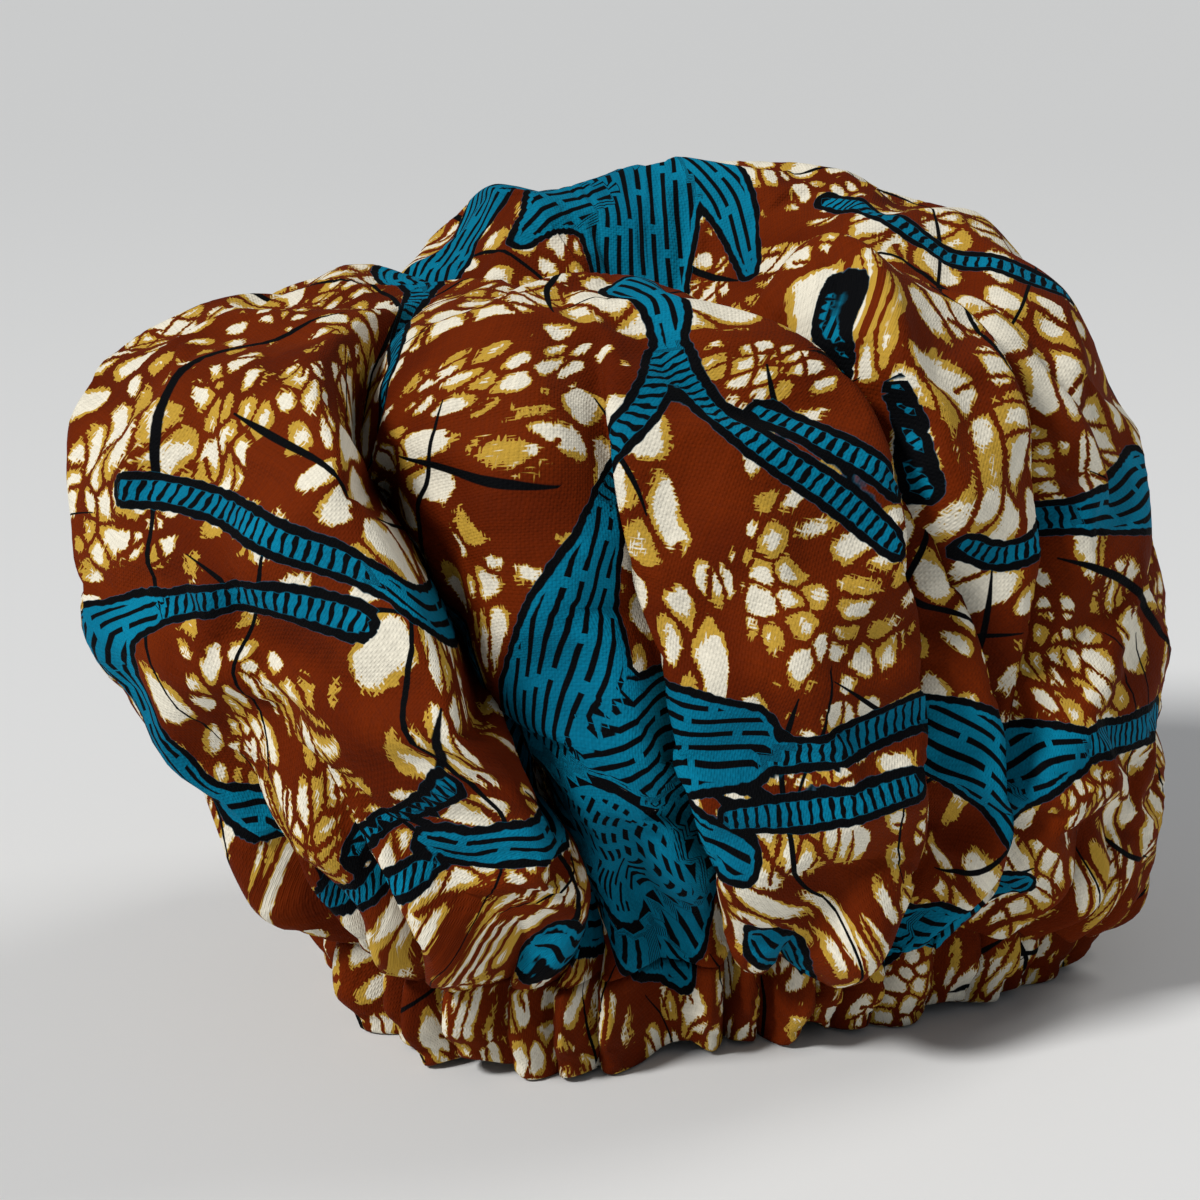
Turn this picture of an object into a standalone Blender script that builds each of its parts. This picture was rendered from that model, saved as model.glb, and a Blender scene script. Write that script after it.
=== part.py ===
"""Hair bonnet of printed cotton, standing on its gathered hem.

Three pieces: the crown, one puffed round of cloth; the hem casing, the channel that its edge is turned
and stitched into; and the elastic band that runs in the channel and gathers it. Units are metres, +Z up,
+Y to the back. The origin is on the surface that the hem stands on, under the middle of the bonnet's box.
The cloth is worked out round the head opening: an azimuth runs from the right side towards the back, and
a run goes from 0 at the hollow on top, over the crest and the belly, to 1 at the neck over the casing.
"""

import math

import bmesh
import bpy
import numpy as np

MM = 0.001

# The places in plan of the head opening's middle and of the hollow on top.
OPENING_X, OPENING_Y = 17.5 * MM, -0.5 * MM
HOLLOW_X, HOLLOW_Y = 7.5 * MM, 1.5 * MM
HOLLOW_UP = 170 * MM

# The run's share down to the crest, and down to the widest line of the belly.
CREST_RUN, BELLY_RUN = 0.19, 0.68
PLACE_RUN = 0.35

# The casing's height, its cloth, and the elastic that lies in it.
NECK_UP = 28 * MM
GAP = 0.6 * MM
CLOTH = 2.0 * MM
CASING_CLOTH = 1.2 * MM
ELASTIC_THICK = 0.8 * MM
ELASTIC_WIDE = 10 * MM
ELASTIC_UP = 9 * MM

# Gathers: small ruffles in step with the casing, and broad ones that reach up the belly.
RUFFLES = 40
RUFFLE_OUT = 4.0 * MM
CASING_BULGE = 2.0 * MM
BROAD_RUFFLES = 15
BROAD_OUT = 5.0 * MM

# How far from a crease its overhanging lip draws the cloth along.
LIP_REACH = 30 * MM
CREASE_ROUND = 0.12
CREASE_FALL = 1.5

# The run above which the threads are swept round no further, and how their sweep falls off below it.
SWEEP_RUN = 0.24
SWEEP_FALL = 2.2

# Grid: three columns to a ruffle in the cloth and two in the elastic, with one in each pinch.
CLOTH_COLUMNS = 3
ELASTIC_COLUMNS = 2
ROWS = 15

# Meridian sections round the opening, in millimetres and degrees: the crest's reach and height, the
# belly's reach and height, how full the shoulder and the underside are, how far the underside sags
# below its line, the reach of the gathered edge, and how far the cloth's grain is swept round at the
# crest from where it meets the edge.
SECTION_COLUMNS = (
    "azimuth", "crest_out", "crest_up", "belly_out", "belly_up", "shoulder", "under", "sag", "edge_out",
    "swept",
)
SECTIONS = (
    (0, 60, 207, 130, 76, 2.15, 2.3, 12, 100, -4),
    (30, 58, 214, 134, 82, 2.1, 2.3, 10, 102, 10),
    (60, 54, 219, 126, 85, 2.0, 2.1, 6, 82, 18),
    (90, 50, 219, 118, 88, 2.1, 1.9, 3, 69, 16),
    (120, 52, 214, 124, 94, 2.2, 1.8, 0, 74, 12),
    (150, 54, 202, 140, 100, 2.2, 1.6, 0, 86, 0),
    (180, 60, 196, 166, 122, 3.2, 1.5, 0, 94, -16),
    (210, 62, 200, 166, 120, 3.6, 1.5, 0, 91, -32),
    (240, 54, 205, 132, 105, 2.6, 1.6, 0, 89, -46),
    (270, 50, 206, 103, 92, 2.2, 1.7, 0, 58, -38),
    (300, 52, 204, 107, 84, 2.1, 1.9, 0, 56, -26),
    (330, 58, 204, 124, 78, 2.1, 2.3, 4, 75, -22),
)

# Folds: azimuths in degrees at the start, middle and end of the fold's line, the runs where it starts
# and ends, then in millimetres its width on either side, its depth (a ridge where negative), and how
# far the cloth leans over it from before (positive) or from after (negative).
FOLD_COLUMNS = (
    "name", "az_start", "az_middle", "az_end", "run_start", "run_end", "before", "after", "depth", "lean",
)
FOLDS = (
    ("left_side_ridge", 188, 204, 222, 0.40, 0.95, 12, 9, -4, 0),
    ("left_side_valley", 172, 190, 205, 0.36, 0.98, 16, 12, 8, 0),
    ("lobe_valley", 203, 222, 221, 0.36, 0.98, 12, 12, 6, 0),
    ("main_crease", 202, 246, 256, 0.24, 1.02, 8, 24, 24, 9),
    ("middle_ridge", 230, 260, 267, 0.24, 0.98, 10, 12, -5, 0),
    ("panel_left_edge", 246, 269, 276, 0.30, 1.02, 14, 8, 10, -4),
    ("panel_ridge", 262, 285, 287, 0.34, 0.98, 12, 10, -5, 0),
    ("panel_right_edge", 275, 295, 298, 0.14, 1.02, 8, 14, 14, 5),
    ("narrow_panel_edge", 280, 309, 318, 0.22, 1.02, 8, 20, 14, 5),
    ("right_lobe_valley", 322, 338, 340, 0.40, 0.98, 16, 16, 5, 0),
    ("curl_ridge", 322, 309, 310, 0.05, 0.55, 9, 8, -6, 0),
    ("curl_valley", 338, 326, 316, 0.08, 0.70, 8, 18, 13, 3),
    ("back_peak", 146, 138, 132, 0.06, 0.52, 14, 12, -8, 0),
    ("back_left_crease", 178, 152, 142, 0.08, 0.80, 12, 8, 12, -4),
    ("back_left_valley", 158, 168, 168, 0.36, 1.02, 12, 9, 10, -3),
    ("back_first_crease", 124, 116, 112, 0.22, 1.02, 14, 8, 11, -4),
    ("back_middle_crease", 96, 84, 78, 0.18, 1.02, 8, 16, 12, 4),
    ("back_right_crease", 66, 52, 44, 0.20, 1.02, 8, 16, 10, 4),
    ("right_side_crease", 24, 18, 14, 0.30, 1.02, 12, 12, 7, 0),
)

# The casing's profile from its top edge outside, down and round the fold, to its top edge inside: the
# height over the floor, the side (1 outside, -1 inside) and the share of the ruffle there.
CASING_COLUMNS = ("up", "side", "share")
CASING_PROFILE = (
    (27.4, 1, 0.0),
    (17.0, 1, 1.0),
    (4.0, 1, 0.9),
    (0.0, 1, 0.2),
    (0.0, -1, 0.2),
    (4.0, -1, 0.9),
    (14.0, -1, 1.0),
    (23.0, -1, 0.5),
)

CLOTH_COLOUR = (0.24, 0.075, 0.018, 1.0)
CASING_COLOUR = (0.20, 0.06, 0.016, 1.0)
ELASTIC_COLOUR = (0.80, 0.78, 0.74, 1.0)
CLOTH_ROUGHNESS = 0.85
ELASTIC_ROUGHNESS = 0.7


def column(table, names, name):
    """One named column of a table, as an array."""
    return np.array([row[names.index(name)] for row in table], dtype=float)


def smooth_step(value, low, high):
    """Rises smoothly from 0 at low to 1 at high."""
    t = np.clip((value - low) / (high - low), 0.0, 1.0)
    return t * t * (3.0 - 2.0 * t)


def section_value(name, azimuth):
    """A section column at any azimuth, on a smooth closed curve through the evenly spaced rows."""
    values = column(SECTIONS, SECTION_COLUMNS, name)
    place = np.mod(azimuth / math.tau * len(values), len(values))
    row = np.floor(place).astype(int)
    t = place - row
    before, here, there, after = (values[(row + step) % len(values)] for step in (-1, 0, 1, 2))
    return here + 0.5 * t * (
        there - before
        + t * (2 * before - 5 * here + 4 * there - after + t * (3 * (here - there) + after - before))
    )


def quarter(turn, fullness):
    """Side and rise of a quarter superellipse at a turn of 0 (top) to 1 (side)."""
    across = np.sin(turn * math.pi / 2)
    upward = np.cos(turn * math.pi / 2)
    reach = (np.abs(across) ** fullness + np.abs(upward) ** fullness) ** (-1.0 / fullness)
    return reach * across, reach * upward


def puffed_form(azimuth, run):
    """The crown without its folds: hollow top, crest, shoulder, belly and underside."""
    crest_out = section_value("crest_out", azimuth) * MM
    crest_up = section_value("crest_up", azimuth) * MM
    belly_out = section_value("belly_out", azimuth) * MM
    belly_up = section_value("belly_up", azimuth) * MM
    neck_out = edge_reach(azimuth)
    top = np.clip(run / CREST_RUN, 0, 1)
    shoulder = np.clip((run - CREST_RUN) / (BELLY_RUN - CREST_RUN), 0, 1)
    under = np.clip((run - BELLY_RUN) / (1 - BELLY_RUN), 0, 1)
    top_out = crest_out * top
    top_up = HOLLOW_UP + (crest_up - HOLLOW_UP) * (1 - np.cos(math.pi * top)) / 2
    side, rise = quarter(shoulder, section_value("shoulder", azimuth))
    shoulder_out = crest_out + (belly_out - crest_out) * side
    shoulder_up = belly_up + (crest_up - belly_up) * rise
    side, rise = quarter(1 - under, section_value("under", azimuth))
    sag = section_value("sag", azimuth) * MM * np.sin(math.pi * under**1.3) ** 2
    under_out = neck_out + (belly_out - neck_out) * side
    under_up = belly_up - (belly_up - NECK_UP) * rise - sag
    out = np.where(run <= CREST_RUN, top_out, np.where(run <= BELLY_RUN, shoulder_out, under_out))
    up = np.where(run <= CREST_RUN, top_up, np.where(run <= BELLY_RUN, shoulder_up, under_up))
    place = smooth_step(run, 0, PLACE_RUN)
    return np.stack(
        [
            HOLLOW_X + (OPENING_X - HOLLOW_X) * place + out * np.cos(azimuth),
            HOLLOW_Y + (OPENING_Y - HOLLOW_Y) * place + out * np.sin(azimuth),
            up,
        ],
        axis=-1,
    )


def edge_reach(azimuth):
    """Reach of the gathered edge's outer face in the pinches between the ruffles."""
    wall = ELASTIC_THICK / 2 + GAP + CASING_CLOTH
    return section_value("edge_out", azimuth) * MM + wall


def ruffle_phase(azimuth):
    """Turns of the small ruffles, a little uneven in pitch as a gathered edge is."""
    uneven = 1.6 * np.sin(3 * azimuth + 1) + 0.8 * np.sin(7 * azimuth + 2)
    return RUFFLES * azimuth + uneven - 1.6 * math.sin(1) - 0.8 * math.sin(2)


def ruffle_columns(to_a_ruffle):
    """Azimuths of a grid's columns, evenly spaced in the ruffles' phase, so each pinch has one."""
    fine = np.linspace(0, math.tau, 4001)
    phases = np.arange(to_a_ruffle * RUFFLES) * math.tau / to_a_ruffle
    return np.interp(phases, ruffle_phase(fine), fine)


def ruffle(azimuth):
    """Round tops of 1 between sharp pinches of 0."""
    return np.abs(np.sin(ruffle_phase(azimuth) / 2))


def gathers(azimuth, run):
    """How far the small and the broad ruffles stand out of the puffed form."""
    start = 0.80 + 0.05 * np.sin(9 * azimuth + 1) + 0.04 * np.sin(17 * azimuth)
    small = RUFFLE_OUT * ruffle(azimuth) * smooth_step(run, start, 1.0)
    phase = BROAD_RUFFLES * azimuth + 1.5 * np.sin(2 * azimuth + 2) + 0.9 * np.sin(5 * azimuth)
    grow = smooth_step(run, 0.62, 0.86) * (1 - smooth_step(run, 0.90, 1.0))
    return small + BROAD_OUT * (np.abs(np.sin(phase / 2)) - 0.6) * grow


def folds(azimuth, run, reach):
    """Height of the folds over the puffed form, and how far their lips lean round it."""
    height = np.zeros_like(run)
    lean_over = np.zeros_like(run)
    for fold in FOLDS:
        row = dict(zip(FOLD_COLUMNS, fold))
        t = (run - row["run_start"]) / (row["run_end"] - row["run_start"])
        line = np.radians(
            row["az_start"] * (1 - t) * (1 - 2 * t)
            + row["az_middle"] * 4 * t * (1 - t)
            + row["az_end"] * t * (2 * t - 1)
        )
        across = (np.mod(azimuth - line + math.pi, math.tau) - math.pi) * reach
        width = np.where(across < 0, row["before"], row["after"]) * MM
        away = np.sqrt((across / width) ** 2 + CREASE_ROUND) - math.sqrt(CREASE_ROUND)
        along = smooth_step(t, 0, 0.3) * (1 - smooth_step(t, 0.8, 1.0))
        trough = np.exp(-CREASE_FALL * away) * along
        height -= row["depth"] * MM * trough
        on_lip = across * row["lean"] < 0
        lip = (along - trough) * np.exp(-((across / LIP_REACH) ** 2))
        lean_over += row["lean"] * MM * np.where(on_lip, lip, 0)
    return height, lean_over


def outward(azimuth, run):
    """Unit normal of the puffed form, turned level near the neck, where ruffles stand straight out."""
    step = 1e-3
    around = puffed_form(azimuth + step, run) - puffed_form(azimuth - step, run)
    down = puffed_form(azimuth, np.minimum(run + step, 1)) - puffed_form(azimuth, np.maximum(run - step, 0))
    normal = np.cross(down, around)
    size = np.linalg.norm(normal, axis=-1, keepdims=True)
    normal = np.where(size > 1e-12, normal / np.maximum(size, 1e-12), (0.0, 0.0, 1.0))
    level = smooth_step(run, 0.86, 1.0)[..., None]
    straight = np.stack([np.cos(azimuth), np.sin(azimuth), np.zeros_like(azimuth)], axis=-1)
    normal = normal * (1 - level) + straight * level
    return normal / np.linalg.norm(normal, axis=-1, keepdims=True)


def swept_azimuth(column, run):
    """Where a thread that meets the edge at the azimuth column lies at a run, swept round as the folds are."""
    back = (1 - run) / (1 - SWEEP_RUN)
    return column + np.radians(section_value("swept", column)) * np.minimum(back, 1) ** SWEEP_FALL


def crown_surface(column, run):
    """The crown's outer face, with its folds and gathers, along the threads that meet the edge at column."""
    azimuth = swept_azimuth(column, run)
    form = puffed_form(azimuth, run)
    reach = np.maximum(np.hypot(form[..., 0] - OPENING_X, form[..., 1] - OPENING_Y), 15 * MM)
    height, lean = folds(azimuth, run, reach)
    height = height + gathers(column, run)
    around = np.stack([-np.sin(azimuth), np.cos(azimuth), np.zeros_like(azimuth)], axis=-1)
    return form + outward(azimuth, run) * height[..., None] + around * lean[..., None]


def casing_surface(azimuth, place):
    """The casing's outer face, at a place counted along its profile's rows."""
    rows = np.arange(len(CASING_PROFILE))
    up = np.interp(place, rows, column(CASING_PROFILE, CASING_COLUMNS, "up")) * MM
    side = np.interp(place, rows, column(CASING_PROFILE, CASING_COLUMNS, "side"))
    share = np.interp(place, rows, column(CASING_PROFILE, CASING_COLUMNS, "share"))
    middle = section_value("edge_out", azimuth) * MM
    wall = edge_reach(azimuth) - middle
    bulge = RUFFLE_OUT * ruffle(azimuth) + CASING_BULGE * share * ruffle(azimuth)
    out = middle + side * (wall + bulge)
    return np.stack([OPENING_X + out * np.cos(azimuth), OPENING_Y + out * np.sin(azimuth), up], axis=-1)


def cloth_material(name, colour, roughness):
    """A plain material of one colour."""
    material = bpy.data.materials.new(name)
    material.use_nodes = True
    shader = material.node_tree.nodes["Principled BSDF"]
    shader.inputs["Base Color"].default_value = colour
    shader.inputs["Roughness"].default_value = roughness
    shader.inputs["Metallic"].default_value = 0.0
    material.diffuse_color = colour
    return material


def bent_grid(name, azimuths, places, surface, collection, material):
    """A flat grid bent round the opening: each column goes to an azimuth, each row to a place."""
    mesh = bpy.data.meshes.new(name)
    bm = bmesh.new()
    columns, rows = len(azimuths), len(places)
    bmesh.ops.create_grid(bm, x_segments=columns, y_segments=rows - 1, size=1.0)
    verts = list(bm.verts)
    flat = np.array([vert.co for vert in verts])
    column_index = np.rint((flat[:, 0] + 1) / 2 * columns).astype(int) % columns
    row_index = np.rint((flat[:, 1] + 1) / 2 * (rows - 1)).astype(int)
    bent = surface(np.asarray(azimuths)[column_index], np.asarray(places, dtype=float)[row_index])
    for vert, point in zip(verts, bent):
        vert.co = point
    bmesh.ops.remove_doubles(bm, verts=bm.verts, dist=0.01 * MM)
    bmesh.ops.recalc_face_normals(bm, faces=bm.faces)
    bm.to_mesh(mesh)
    bm.free()
    mesh.shade_smooth()
    piece = bpy.data.objects.new(name, mesh)
    piece.data.materials.append(material)
    collection.objects.link(piece)
    return piece


def give_thickness(piece, thickness):
    """Turns the open cloth into a wall that lies inside its outer face."""
    solidify = piece.modifiers.new("cloth_thickness", "SOLIDIFY")
    solidify.thickness = thickness
    solidify.offset = -1.0
    solidify.use_even_offset = False


def make_crown(collection):
    """The puffed round of cloth, open at the neck."""
    material = cloth_material("printed_cotton", CLOTH_COLOUR, CLOTH_ROUGHNESS)
    runs = np.linspace(0, 1, ROWS + 1)
    crown = bent_grid("crown", ruffle_columns(CLOTH_COLUMNS), runs, crown_surface, collection, material)
    give_thickness(crown, CLOTH)


def make_hem_casing(collection):
    """The turned and stitched channel at the edge, open along the top inside, where it is sewn on."""
    material = cloth_material("printed_cotton_hem", CASING_COLOUR, CLOTH_ROUGHNESS)
    azimuths, places = ruffle_columns(CLOTH_COLUMNS), np.arange(len(CASING_PROFILE))
    casing = bent_grid("hem_casing", azimuths, places, casing_surface, collection, material)
    give_thickness(casing, CASING_CLOTH)


def elastic_surface(azimuth, place):
    """The elastic's flat ring; its four corners are places 0 to 3, and place 4 is the first again."""
    corners = np.array([(0.5, 0.0), (0.5, 1.0), (-0.5, 1.0), (-0.5, 0.0), (0.5, 0.0)])
    corner = corners[np.asarray(place).astype(int)]
    out = section_value("edge_out", azimuth) * MM + corner[..., 0] * ELASTIC_THICK
    up = ELASTIC_UP + corner[..., 1] * ELASTIC_WIDE
    return np.stack([OPENING_X + out * np.cos(azimuth), OPENING_Y + out * np.sin(azimuth), up], axis=-1)


def make_elastic_band(collection):
    """The flat elastic, one closed ring that runs in the casing."""
    material = cloth_material("woven_elastic", ELASTIC_COLOUR, ELASTIC_ROUGHNESS)
    azimuths, places = ruffle_columns(ELASTIC_COLUMNS), np.arange(5)
    bent_grid("elastic_band", azimuths, places, elastic_surface, collection, material)


def main():
    """Clears the scene and builds the bonnet's three pieces."""
    for old in list(bpy.data.objects):
        bpy.data.objects.remove(old, do_unlink=True)
    collection = bpy.data.collections.new("hair_bonnet")
    bpy.context.scene.collection.children.link(collection)
    make_crown(collection)
    make_hem_casing(collection)
    make_elastic_band(collection)


main()
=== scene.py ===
"""Looks of a puffed hair bonnet of wax-printed cotton that stands on its gathered hem.

The cloth is worked out round the head opening, as the bonnet's solids are: an azimuth runs from the right
side towards the back, and a run goes from 0 at the hollow on top, over the crest and the belly, to 1 at the
neck over the hem casing. The whole cloth is one sheet of points. It is unrolled to its flat cut, and the
print is drawn on that cut, so the pattern follows the folds. Units are metres, +Z up and +Y to the back.
"""

import logging
import math
from collections.abc import Callable
from dataclasses import dataclass
from enum import Enum

import bpy
import numpy as np
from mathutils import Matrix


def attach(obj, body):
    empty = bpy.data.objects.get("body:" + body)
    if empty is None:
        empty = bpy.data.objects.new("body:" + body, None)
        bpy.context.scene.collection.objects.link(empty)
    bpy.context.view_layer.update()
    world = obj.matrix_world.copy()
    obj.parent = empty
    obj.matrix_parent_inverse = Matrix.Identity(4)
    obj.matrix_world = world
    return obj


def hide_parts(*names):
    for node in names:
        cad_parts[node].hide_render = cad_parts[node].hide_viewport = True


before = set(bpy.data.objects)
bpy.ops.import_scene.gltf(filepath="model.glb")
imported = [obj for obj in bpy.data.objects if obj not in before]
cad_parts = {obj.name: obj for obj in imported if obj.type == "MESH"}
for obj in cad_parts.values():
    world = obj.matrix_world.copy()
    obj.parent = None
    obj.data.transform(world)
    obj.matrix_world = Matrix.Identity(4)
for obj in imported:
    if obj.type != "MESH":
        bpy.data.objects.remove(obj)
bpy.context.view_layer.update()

MM = 0.001
TAU = math.tau
log = logging.getLogger("hair_bonnet")

Array = np.ndarray


@dataclass(frozen=True)
class Section:
    """A meridian of the puffed cloth, in degrees and mm; shoulder and under are superellipse powers."""

    azimuth: float
    crest_out: float
    crest_up: float
    belly_out: float
    belly_up: float
    shoulder: float
    under: float
    sag: float
    edge_out: float
    swept: float


@dataclass(frozen=True)
class Fold:
    """A fold's line by azimuth at its start, middle and end, its runs, then widths, depth and lean in mm.

    A ridge has a negative depth. A positive lean draws the cloth over the line from before it, a negative one
    from after it.
    """

    name: str
    az_start: float
    az_middle: float
    az_end: float
    run_start: float
    run_end: float
    before: float
    after: float
    depth: float
    lean: float


class Motif(Enum):
    """What a drawn shape of the print is filled with."""

    VINE = 0
    LEAF = 1
    SEED = 2


@dataclass(frozen=True)
class Stroke:
    """A shape of the print, drawn along places (azimuth, run), with its width in mm at either end.

    A shape with one place is a round one, with its hatching laid out from its middle.
    """

    name: str
    motif: Motif
    places: tuple[tuple[float, float], ...]
    start_wide: float
    end_wide: float


SECTIONS = (
    Section(0, 60, 207, 130, 76, 2.15, 2.3, 12, 100, -4),
    Section(30, 58, 214, 134, 82, 2.1, 2.3, 10, 102, 10),
    Section(60, 54, 219, 126, 85, 2.0, 2.1, 6, 82, 18),
    Section(90, 50, 219, 118, 88, 2.1, 1.9, 3, 69, 16),
    Section(120, 52, 214, 124, 94, 2.2, 1.8, 0, 74, 12),
    Section(150, 54, 202, 140, 100, 2.2, 1.6, 0, 86, 0),
    Section(180, 60, 196, 164, 122, 3.2, 1.4, 0, 94, -16),
    Section(210, 62, 200, 164, 121, 3.6, 1.3, 0, 91, -32),
    Section(240, 54, 206, 130, 107, 2.6, 1.3, 0, 88, -46),
    Section(270, 50, 206, 103, 93, 2.2, 1.5, 0, 58, -38),
    Section(300, 52, 204, 107, 84, 2.1, 1.9, 0, 56, -26),
    Section(330, 58, 204, 124, 78, 2.1, 2.3, 4, 75, -22),
)

FOLDS = (
    Fold("left_side_ridge", 188, 204, 222, 0.40, 0.95, 12, 9, -4, 0),
    Fold("left_side_valley", 172, 190, 205, 0.36, 0.98, 16, 12, 8, 0),
    Fold("lobe_valley", 203, 222, 221, 0.36, 0.98, 12, 12, 6, 0),
    Fold("main_crease", 199, 236, 248, 0.20, 1.02, 4, 17, 54, 25),
    Fold("middle_ridge", 230, 260, 267, 0.24, 0.98, 10, 12, -5, 0),
    Fold("panel_left_edge", 246, 268, 275, 0.28, 1.02, 20, 4, 15, -14),
    Fold("panel_ridge", 262, 285, 287, 0.34, 0.98, 12, 10, -5, 0),
    Fold("panel_right_edge", 275, 295, 298, 0.14, 1.02, 4, 20, 18, 15),
    Fold("narrow_panel_edge", 280, 309, 318, 0.20, 1.02, 4, 24, 18, 14),
    Fold("right_lobe_valley", 322, 338, 340, 0.40, 0.98, 16, 16, 5, 0),
    Fold("curl_pit", 292, 290, 300, 0.04, 0.42, 14, 9, 14, -8),
    Fold("curl_ridge", 326, 309, 311, 0.04, 0.58, 9, 8, -12, 0),
    Fold("curl_valley", 344, 328, 318, 0.05, 0.72, 5, 20, 19, 10),
    Fold("second_pit", 358, 350, 344, 0.16, 0.56, 10, 16, 8, 5),
    Fold("front_dent", 248, 262, 276, 0.26, 0.44, 10, 10, 5, 0),
    Fold("back_peak", 146, 138, 132, 0.06, 0.52, 12, 9, -8, 0),
    Fold("back_left_crease", 178, 152, 142, 0.08, 0.80, 12, 8, 12, -6),
    Fold("back_left_valley", 158, 168, 168, 0.36, 1.02, 12, 9, 10, -5),
    Fold("back_first_crease", 124, 116, 112, 0.22, 1.02, 14, 6, 11, -7),
    Fold("back_middle_crease", 96, 84, 78, 0.18, 1.02, 6, 16, 12, 7),
    Fold("back_right_crease", 66, 52, 44, 0.20, 1.02, 6, 16, 10, 7),
    Fold("right_side_crease", 24, 18, 14, 0.30, 1.02, 12, 12, 7, 0),
)

FRONT_PRINT = (
    Stroke("left_upper_vine", Motif.VINE, ((207, 0.54), (215, 0.532), (223, 0.548), (228, 0.565)), 6.5, 6.5),
    Stroke("left_upper_leaf", Motif.LEAF, ((228, 0.565), (232, 0.588), (242, 0.656)), 7, 21),
    Stroke("left_lower_vine", Motif.VINE, ((211, 0.647), (217, 0.618), (222, 0.600), (228, 0.602)), 6.5, 6),
    Stroke("left_edge_leaf", Motif.LEAF, ((211, 0.647), (208, 0.668), (205, 0.700)), 9, 22),
    Stroke("left_low_leaf", Motif.LEAF, ((206, 0.705), (209, 0.746), (211, 0.796), (215, 0.825)), 20, 10),
    Stroke("lobe_low_vine", Motif.VINE, ((226.5, 0.806), (229.5, 0.771), (234, 0.722)), 5.5, 5.5),
    Stroke("lobe_lowest_vine", Motif.VINE, ((218, 0.886), (225, 0.848), (232, 0.812)), 5.5, 6),
    Stroke("lobe_lowest_leaf", Motif.LEAF, ((232, 0.785), (237, 0.780), (244, 0.790)), 8, 18),
    Stroke("top_left_leaf", Motif.LEAF, ((138, 0.25), (152, 0.285), (173, 0.25), (191, 0.22)), 26, 10),
    Stroke("top_left_vine", Motif.VINE, ((191, 0.22), (204, 0.25), (215, 0.29), (222, 0.34), (226, 0.43)),
           7, 5.5),
    Stroke("top_leaf_left", Motif.LEAF, ((112, 0.16), (128, 0.16), (150, 0.17)), 34, 7),
    Stroke("top_leaf_front", Motif.LEAF, ((106, 0.18), (108, 0.10), (140, 0.03)), 44, 20),
    Stroke("top_leaf_right", Motif.LEAF, ((84, 0.18), (64, 0.135), (42, 0.10)), 22, 6),
    Stroke("top_leaf_back", Motif.LEAF, ((104, 0.18), (104, 0.28), (104, 0.38)), 40, 8),
    Stroke("star_stem_leaf", Motif.LEAF, ((254, 0.21), (258, 0.26), (261, 0.33)), 15, 6),
    Stroke("star_stem", Motif.VINE, ((261, 0.34), (263, 0.42), (257, 0.488)), 6.5, 8),
    Stroke("star_top", Motif.LEAF, ((257, 0.488), (255, 0.57), (251.5, 0.68)), 7, 38),
    Stroke("star_fringe", Motif.LEAF, ((259, 0.80),), 70, 30),
    Stroke("star_seed", Motif.SEED, ((259, 0.79), (260, 0.83)), 40, 36),
    Stroke("star_right", Motif.LEAF, ((258, 0.70), (267, 0.66), (278, 0.652)), 38, 18),
    Stroke("star_right_low", Motif.LEAF, ((265, 0.75), (272, 0.735), (279, 0.75)), 26, 10),
    Stroke("star_bottom", Motif.LEAF, ((258, 0.88), (261, 0.95), (265, 1.0)), 32, 14),
    Stroke("star_low_left", Motif.LEAF, ((239, 0.905), (244, 0.930), (251, 0.945)), 8, 14),
    Stroke("middle_vine", Motif.VINE, ((261, 0.33), (266, 0.38), (275, 0.445), (287.6, 0.515)), 5.5, 7),
    Stroke("short_vine", Motif.VINE, ((273.5, 0.406), (280, 0.438), (287.5, 0.473)), 5, 6.5),
    Stroke("curl_vine", Motif.VINE, ((302, 0.26), (302, 0.33), (294, 0.41)), 3.6, 3.6),
    Stroke("narrow_vine", Motif.VINE, ((305.5, 0.373), (305, 0.423), (305.5, 0.468)), 4.2, 6),
    Stroke("back_ridge_vine", Motif.VINE, ((36, 0.17), (14, 0.19), (6, 0.26), (6, 0.37)), 6.5, 6),
    Stroke("lobe_vine", Motif.VINE, ((309, 0.515), (316, 0.523), (334, 0.506)), 6, 8),
    Stroke("lobe_leaf", Motif.LEAF, ((334, 0.506), (346, 0.515), (357, 0.523)), 9, 22),
    Stroke("panel_upper_vine", Motif.VINE, ((277.5, 0.664), (284, 0.652), (293, 0.632)), 6.5, 8),
    Stroke("panel_lower_vine", Motif.VINE, ((277.5, 0.71), (284, 0.695), (292, 0.68)), 7, 6.5),
    Stroke("wedge_leaf", Motif.LEAF, ((294, 0.635), (303, 0.66), (315, 0.715)), 9, 32),
    Stroke("lobe_low_leaf", Motif.LEAF, ((312, 0.688), (319, 0.68), (328, 0.664)), 26, 9),
    Stroke("lobe_low_vine_right", Motif.VINE, ((328, 0.664), (338, 0.664), (348, 0.664)), 7, 7),
    Stroke("low_right_leaf", Motif.LEAF, ((312, 0.95), (319, 0.90), (325, 0.83)), 34, 8),
    Stroke("low_right_spur", Motif.LEAF, ((316, 0.92), (306, 0.93), (298, 0.94)), 22, 8),
    Stroke("panel_low_leaf", Motif.LEAF, ((282, 0.853), (287, 0.91), (290.5, 0.98)), 10, 8),
)

# The print comes again round the back and on the sides, turned by these angles, in degrees.
REPEAT_TURNS = (-178.0, -104.0)
REPEAT_FROM, REPEAT_TO = 226.0, 300.0
REPEAT_LEAST_RUN = 0.30


def smooth_step(value: Array | float, low: Array | float, high: Array | float) -> Array:
    """Rises smoothly from 0 at low to 1 at high."""
    t = np.clip((value - low) / (high - low), 0.0, 1.0)
    return t * t * (3.0 - 2.0 * t)


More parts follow.
